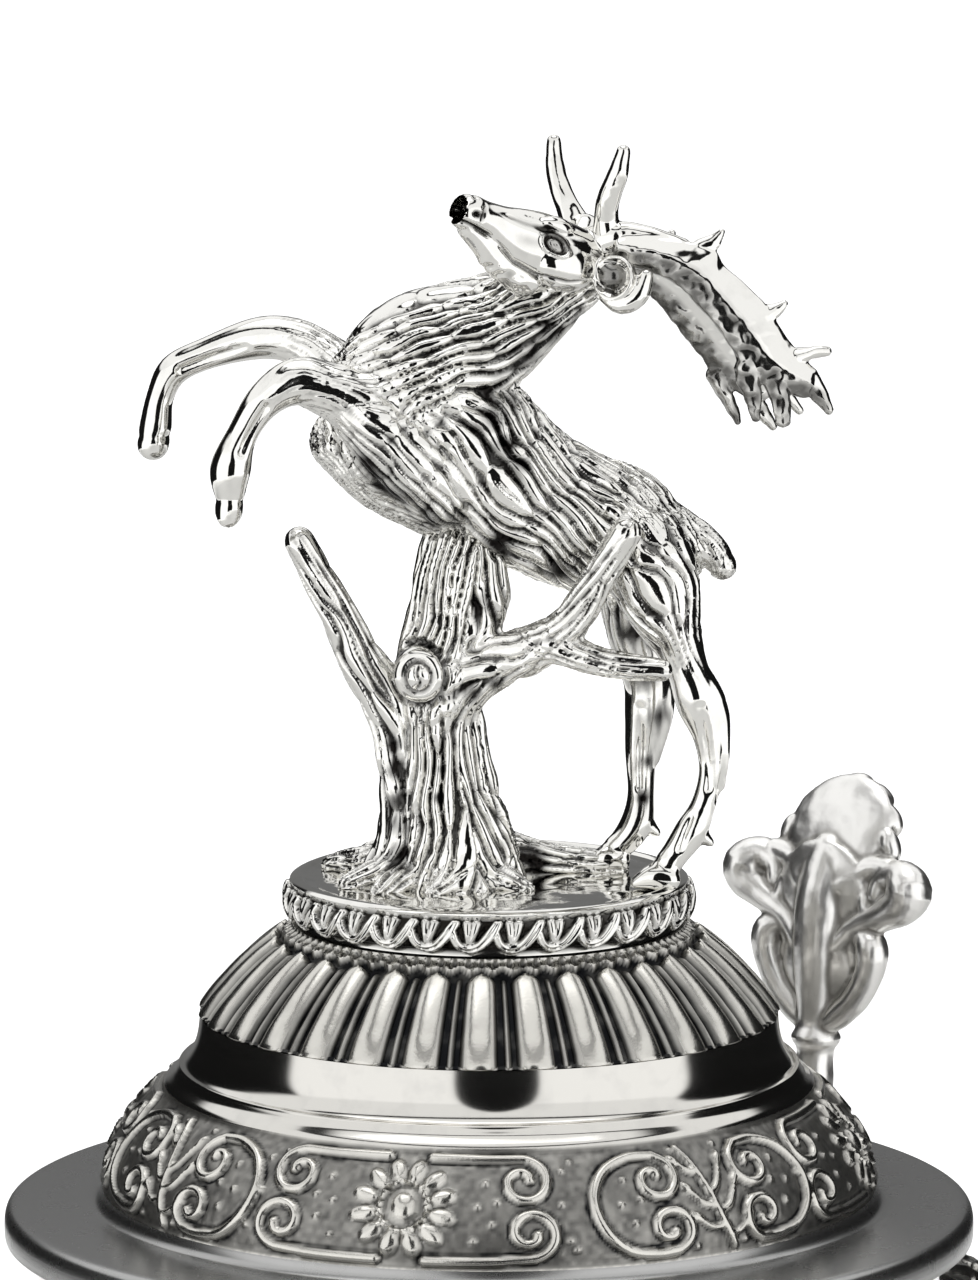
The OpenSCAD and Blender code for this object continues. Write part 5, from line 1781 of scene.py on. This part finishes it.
@dataclass
class Vessel:
    """The turned body, its foot, its two bands of ornament and the handle."""

    finishes: Finishes
    foot_radius: float = 64.0
    wall: float = 2.0

    @staticmethod
    def wall_radius(z: float) -> float:
        """Outer radius of the drum: straight behind the foot, then a slight taper."""
        return float(np.interp(z, [36, 168], [50.4, 48]))

    def build(self) -> None:
        """Builds every piece of the vessel."""
        self.foot()
        self.drum()
        self.frieze()
        self.lip()
        self.handle()

    def foot(self) -> None:
        """The spreading foot: mouldings, a band of ornament and a gadrooned collar."""
        r = self.foot_radius
        outline = Outline([
            Run([(50.7, 5.6), (56.4, 4.7), (59, 2.7), (60.8, 0.3), (61.2, 0)], 1, False),
            Run([(r - 0.7, 0)], 0.7, False),
            Run([(r - 0.15, 0.25), (r, 0.9), (r, 2.3), (r - 0.25, 3.2), (r - 0.9, 3.75), (r - 1.9, 4),
                 (r - 2.6, 4.3)], 0.3),
            Run([(61.35, 6.2), (60.9, 9), (59.6, 11.6), (57.8, 13.7), (55.8, 15.4), (54.5, 16.5)], 0.36),
            Run([(54.15, 17.2), (53.6, 17.9), (53.2, 18.4), (52.7, 19.6), (52.4, 21), (52.05, 22.6)], 0.25),
            Run([*arc((49.9, 27.8), 4.5, range(-58, 61, 12)), (52, 33)], 0.3),
            Run([(52, 34.3), (51.5, 35), (50.7, 35)], 0.3, False),
            Run([(50.7, 5.6)], 3, False),
        ])
        band = OrnamentBand(58, outline.length(3), [FRONT + 60 * k for k in range(6)],
                            [FRONT + 30 + 60 * k for k in range(6)])
        knop = outline.length(5)
        lobes = 56

        def lift(run: Array, along: Array, angle: Array) -> Lifted:
            """Raises the band, and the lobes of the collar above it, as turn asks."""
            height, rubbed = band.lift(3)(run, along, angle)
            ring = run == 5
            share = along[ring] / knop
            place = angle[ring] / (2 * np.pi) * lobes + 0.6 * (share - 0.5)
            off = np.abs(place - np.rint(place)) * 2
            lobe = np.clip(1 - off ** 2, 0, 1) ** 0.5 * np.sqrt(np.clip(np.sin(np.pi * share), 0, 1))
            height[ring] = (lobe - 0.8) * 0.95 * np.clip(np.minimum(share, 1 - share) / 0.12, 0, 1)
            rubbed[ring] = np.clip(lobe * 1.5 - 0.3, 0, 1)
            return height, rubbed

        hand_over(turn(outline, 1120, lift), "foot_with_band", Body.VESSEL, self.finishes.cast,
                  ["foot_ring"])

    def drum(self) -> None:
        """The drum: a thin turned wall with raised beads."""
        wall = self.wall_radius
        runs = [Run([(3, 8.3), (wall(8), 8.3)], 4, False), Run([(wall(36), 36)], 6, False)]
        for z in (41, 85, 119, 160):
            r = wall(z)
            runs.append(Run([(wall(z - 1.6), z - 1.6)], 5, False))
            runs.append(Run([(r + 0.05, z - 1), (r + 0.6, z - 0.66), (r + 0.9, z), (r + 0.6, z + 0.66),
                             (r + 0.05, z + 1), (wall(z + 1.6), z + 1.6)], 0.25))
        inner, low = wall(168) - self.wall, wall(36) - self.wall
        runs += [Run([(48, 168)], 2, False), Run([(inner, 168)], 1, False), Run([(low, 16)], 6, False),
                 Run([(low - 0.5, 13.4), (low - 2.4, 11.8), (low - 5, 11.4)], 0.8),
                 Run([(3, 11.4)], 4, False), Run([(3, 8.3)], 1.5, False)]
        hand_over(turn(Outline(runs), 384), "drum_wall", Body.VESSEL, self.finishes.turned, ["drum"],
                  sharp=40)

    def frieze(self) -> None:
        """The broad band of ornament round the drum."""
        low, high = 89, 115.0
        a, b = self.wall_radius(low), self.wall_radius(high)
        outline = Outline([
            Run([(a + 0.02, low), (a + 0.9, low + 0.35)], 0.3, False),
            Run([(b + 0.9, high - 0.35)], 0.3, False),
            Run([(b + 0.02, high)], 0.3, False),
            Run([(a + 0.02, low)], 6, False),
        ])
        band = OrnamentBand(50, outline.length(1), [FRONT + 120 * k for k in range(3)],
                            [FRONT + 60 + 120 * k for k in range(3)], rise=0.8, size=1.72)
        hand_over(turn(outline, 1024, band.lift(1)), "drum_band", Body.VESSEL, self.finishes.cast,
                  ["drum_frieze"])

    def lip(self) -> None:
        """The rolled lip."""
        outline = Outline([
            Run([(46, 168.05), (48.6, 168.05)], 1, False),
            Run([*arc((48.6, 169.2), 1, range(-70, 71, 20)), (48.8, 170.5)], 0.25),
            Run([(48.8, 174.4)], 0.6, False),
            Run([(49.1, 174.9), (49.1, 175.4), (48.7, 175.9), (48.3, 176)], 0.2),
            Run([(46.6, 176), (46, 175.5)], 0.4, False),
            Run([(46, 168.05)], 1, False),
        ])
        hand_over(turn(outline, 384), "lip_rim", Body.VESSEL, self.finishes.turned, ["lip_ring"],
                  sharp=40)

    def handle(self) -> None:
        """The scrolled handle, with overlapping leaves and a row of pearls down its back."""
        spine = [(55, 156, 6.4, 8), (62, 157.6, 6, 7.8), (69.5, 157.6, 5.4, 7.4), (77, 155.2, 5, 7.1),
                 (84, 150, 4.7, 6.8), (89.6, 142.6, 4.5, 6.5), (93.2, 133, 4.4, 6.3), (94.8, 122, 4.4, 6.2),
                 (94.4, 110, 4.4, 6.1), (92, 98, 4.4, 6), (87.8, 86.6, 4.4, 6), (82, 75.6, 4.4, 6),
                 (75, 65.8, 4.6, 6.2), (66.4, 58.2, 5, 6.6), (55, 54, 5.8, 7)]
        curl = [(80, 72, 3.6), (83.4, 63, 3.4), (84.6, 54, 3.2), (82, 46.4, 3.1), (76.4, 43, 3), (71.4, 45.6, 2.9),
                (71.2, 50.6, 2.8), (75.2, 52.2, 2.6)]
        work = bmesh.new()
        body = [(x, 0, z, wide, thick) for x, z, thick, wide in spine]
        swell(work, body, (0, 1, 0), 0.8, 36)
        tail = [(x, 0, z, r * 1.15, r * 0.9) for x, z, r in curl]
        swell(work, tail, (0, 1, 0), 0.6, 28)
        made = bmesh.ops.create_cube(work, size=1.0)["verts"]
        bmesh.ops.transform(work, matrix=Matrix.Translation((60.4, 0, 160.6)) @ Matrix.Diagonal((10.4, 16, 6.6, 1)),
                            verts=made)
        line = fair_line(np.array([[x, 0, z, thick] for x, z, thick, _ in spine]), 3.4)
        for before, here, after in zip(line[2:-4], line[3:-3], line[4:-2]):
            ahead = Vector(after[:3] - before[:3]).normalized()
            out = Vector((ahead.z, 0, -ahead.x))
            out = -out if out.x * 1.0 + out.z * 0.4 < 0 else out
            bead(work, Vector(here[:3]) + out * (here[3] - 0.1), (1.15, 1.15, 1.15))
        mesh = fuse(work, 0.42, 3)
        spots = read_points(mesh)
        flow = Flow(body, (1, 0, 0.4), 1, 10, (1, 1))
        far, across, along, _ = flow.place(spots)
        across = np.mod(across, 400)
        leaf = 9.5
        cell = along / leaf - np.floor(along / leaf)
        edge = np.abs(across / 6.5 - (0.25 + 0.95 * np.sqrt(np.clip(cell, 0, 1))))
        inside = across / 6.5 < 0.25 + 0.95 * np.sqrt(np.clip(cell, 0, 1))
        veins = 0.22 * np.cos(across * 2.6 + 5 * cell) * inside
        upper = np.clip((62 - along) / 6, 0, 1) + ramp(along, 118, 6)
        rail = 0.42 * bell(across, 7.4, 0.8) - 0.34 * bell(across, 5.6, 0.6)
        depth = upper * (0.55 * inside * (1 - cell) + veins - 0.4 * bell(edge, 0, 0.1)) + (1 - upper) * rail
        depth = np.where(far < 2.5, depth, 0) * ramp(spots[:, 0], 58, 5)
        push(mesh, np.where((spots[:, 2] > 156.5) & (spots[:, 0] < 67), 0, depth))
        # Creases are darkened: partly the casting's black, partly painted shade.
        write_wear_and_painted_shade(mesh, hollow_shade(mesh, 3))
        hand_over(mesh, "handle_scroll", Body.VESSEL, self.finishes.cast, ["handle"], sharp=75)


# ---- the studio

@dataclass
class Studio:
    """A pale floor, soft light and the camera.

    Attributes:
        distance: From the camera to the point it looks at, in metres.
        azimuth: Direction of the camera in degrees, 0 looking along +Y.
        elevation: Height of the camera above the level, in degrees.
        target: Height of the point it looks at, in metres.
        view_height: Height of the view at the target, in metres.
    """

    distance: float = 1.0
    azimuth: float = FINIAL_TURN
    elevation: float = 9.5
    target: float = 0.2414
    view_height: float = 0.1372

    def build(self) -> None:
        """Builds the whole studio."""
        self.floor()
        self.surround()
        self.lamps()
        self.camera()

    def toward(self) -> Vector:
        """Level direction from the object to the camera."""
        a = math.radians(self.azimuth)
        return Vector((math.sin(a), -math.cos(a), 0))

    def camera(self) -> None:
        """A long lens, level, at the height of the lid."""
        lens = bpy.data.cameras.new("camera")
        lens.sensor_width = 36.0
        lens.lens = lens.sensor_width * self.distance / self.view_height
        lens.clip_end = 50.0
        camera = bpy.data.objects.new("camera", lens)
        bpy.context.scene.collection.objects.link(camera)
        e = math.radians(self.elevation)
        back = self.toward() * math.cos(e) + Vector((0, 0, math.sin(e)))
        camera.location = Vector((0, 0, self.target)) + back * self.distance
        camera.rotation_mode = "QUATERNION"
        camera.rotation_quaternion = (-back).to_track_quat("-Z", "Y")
        bpy.context.scene.camera = camera

    def floor(self) -> None:
        """A wide pale floor."""
        work = bmesh.new()
        bmesh.ops.create_circle(work, cap_ends=True, segments=96, radius=30.0)
        mesh = finished(work)
        material = bpy.data.materials.new("matt white paper")
        add = empty_tree(material)
        # The paper is lit from behind, except under the tankard.
        place = add("TexCoord").outputs["Object"]
        far = add("VectorMath", {"operation": "LENGTH"}, {0: place})
        glow = add("MapRange", {"From Min": 0.5, "From Max": 0.8, "To Min": 0, "To Max": 0.95},
                        {"Value": far.outputs["Value"]})
        shader = add("BsdfPrincipled", {"Base Color": linear("#e9e9e8"), "Roughness": 0.8,
                                        "Emission Color": linear("#ffffff")}, {"Emission Strength": glow.outputs[0]})
        add("OutputMaterial", None, {"Surface": shader.outputs[0]})
        mesh.materials.append(material)
        floor = bpy.data.objects.new("floor", mesh)
        bpy.context.scene.collection.objects.link(floor)

    def surround(self) -> None:
        """A round tent of white windows and black cloth, white above, with an open top."""
        work = bmesh.new()
        bmesh.ops.create_cone(work, cap_ends=False, segments=180, radius1=0.8, radius2=0.8, depth=1.3,
                              matrix=Matrix.Translation((0, 0, 0.651)))
        mesh = finished(work)
        cloth = bpy.data.materials.new("white windows and black cloth")
        add = empty_tree(cloth)
        place = add("TexCoord").outputs["Object"]
        toward = self.toward()
        right = Vector((-toward.y, toward.x, 0))
        ahead = add("VectorMath", {"operation": "DOT_PRODUCT", 1: toward}, {0: place})
        aside = add("VectorMath", {"operation": "DOT_PRODUCT", 1: right}, {0: place})
        turn_of = add("Math", {"operation": "ARCTAN2"},
                           {0: aside.outputs["Value"], 1: ahead.outputs["Value"]})
        share = add("MapRange", {"From Min": -math.pi, "From Max": math.pi},
                         {"Value": turn_of.outputs[0]})

        def stop(degrees: float, level: float) -> tuple[float, tuple]:
            """Gives a ramp stop for a grey at a direction from the camera."""
            return (degrees + 180) / 360, (level, level, level, 1)

        black, window, wall = 0.006, 1, 0.13
        stops = [stop(-180, wall), stop(-163, wall), stop(-158, black), stop(-84, black), stop(-81, window),
                 stop(81, window), stop(84, black), stop(158, black), stop(163, wall), stop(180, wall)]
        around = add("ValToRGB", {"stops": stops}, {"Fac": share.outputs[0]})
        height = add("SeparateXYZ", None, {0: place}).outputs[2]
        # The cloths reach higher on the right, and above them the tent is pale all round.
        pale = (0.85, 0.85, 0.85, 1)
        stops = [stop(-180, 0), stop(76, 0), stop(90, 1), stop(165, 1), stop(172, 0), stop(180, 0)]
        raised = add("ValToRGB", {"stops": stops}, {"Fac": share.outputs[0]})
        level = add("Math", {"operation": "MULTIPLY_ADD", 1: -0.13},
                         {0: raised.outputs[0], 2: height})
        upper = add("MapRange", {"From Min": 0.58, "From Max": 0.64}, {"Value": level.outputs[0]})
        walls = add("Mix", {"data_type": "RGBA", 7: pale},
                         {0: upper.outputs[0], 6: around.outputs[0]})
        # Someone in dark clothes stands in front: narrow and rounded at the top.
        wide = add("Math", {"operation": "MULTIPLY_ADD", 1: 3.4, 2: -0.18}, {0: turn_of.outputs[0]})
        tall = add("MapRange", {"From Min": 0.15, "From Max": 1.0}, {"Value": height})
        figure = add("CombineXYZ", None, {0: wide.outputs[0], 1: tall.outputs[0]})
        reach = add("VectorMath", {"operation": "LENGTH"}, {0: figure.outputs[0]})
        clear = add("MapRange", {"From Min": 0.92, "From Max": 1.0}, {"Value": reach.outputs["Value"]})
        cloths = add("Mix", {"data_type": "RGBA", 6: (black, black, black, 1)},
                          {0: clear.outputs[0], 7: walls.outputs[2]})
        glow = add("Emission", {"Strength": 1.35}, {"Color": cloths.outputs[2]})
        add("OutputMaterial", None, {"Surface": glow.outputs[0]})
        mesh.materials.append(cloth)
        tent = bpy.data.objects.new("tent", mesh)
        tent.visible_camera = False
        tent.visible_shadow = False
        bpy.context.scene.collection.objects.link(tent)

        world = bpy.data.worlds.new("studio")
        bpy.context.scene.world = world
        add = empty_tree(world)
        ray = add("TexCoord").outputs["Generated"]
        split = add("SeparateXYZ", None, {0: ray})
        rise = add("MapRange", {"From Min": -1, "From Max": 1.0}, {"Value": split.outputs[2]})
        dark, light = (0.012, 0.012, 0.012, 1), (0.9, 0.9, 0.9, 1)
        up = add("ValToRGB", {"stops": [(0, light), (0.5, light), (0.52, dark), (0.93, dark),
                                                             (0.945, light), (1, light)]},
                      {"Fac": rise.outputs[0]})
        seen = add("LightPath").outputs["Is Camera Ray"]
        lit = add("Background", {"Strength": 1.3}, {"Color": up.outputs[0]})
        white = add("Background", {"Color": (1, 1, 1, 1), "Strength": 1.0})
        mix = add("MixShader", None, {0: seen, 1: lit.outputs[0], 2: white.outputs[0]})
        add("OutputWorld", None, {"Surface": mix.outputs[0]})
        bpy.context.scene.view_settings.view_transform = "Standard"

    def lamps(self) -> None:
        """One broad lamp overhead."""
        lamp = bpy.data.lights.new("overhead softbox", "AREA")
        lamp.shape = "SQUARE"
        lamp.size = 1.6
        lamp.energy = 7.0
        light = bpy.data.objects.new("overhead softbox", lamp)
        light.location = (0.3, 0.5, 2.2)
        light.rotation_mode = "QUATERNION"
        light.rotation_quaternion = (Vector((0, 0, 0.1)) - light.location).to_track_quat("-Z", "Y")
        bpy.context.scene.collection.objects.link(light)


def dress_nodes(finishes: Finishes) -> None:
    """Gives the CAD nodes their finishes, for those that stay in view.

    Args:
        finishes: The finishes to choose from.
    """
    steel = ("hinge_pin", "finial_stud", "finial_washer", "finial_nut")
    bright = ("thumb_lift", "finial_plinth", "tree_stump", "stag_body", "antler_near", "antler_far")
    for node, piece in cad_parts.items():
        finish = finishes.steel if node in steel else finishes.bright if node in bright else finishes.fitting
        if not piece.material_slots:
            piece.data.materials.append(finish)
        for holder in piece.material_slots:
            holder.material = finish


def main() -> None:
    """Builds the tankard's looks and the studio."""
    logging.basicConfig(level=logging.INFO, format="%(message)s")
    finishes = Finishes()
    dress_nodes(finishes)
    Lid(finishes).build()
    Plinth(finishes).build()
    Stump(finishes).build()
    Stag(finishes).build()
    ThumbLift(finishes).build()
    HingeFurniture(finishes).build()
    Vessel(finishes).build()
    Studio().build()


if __name__ == "__main__":
    main()
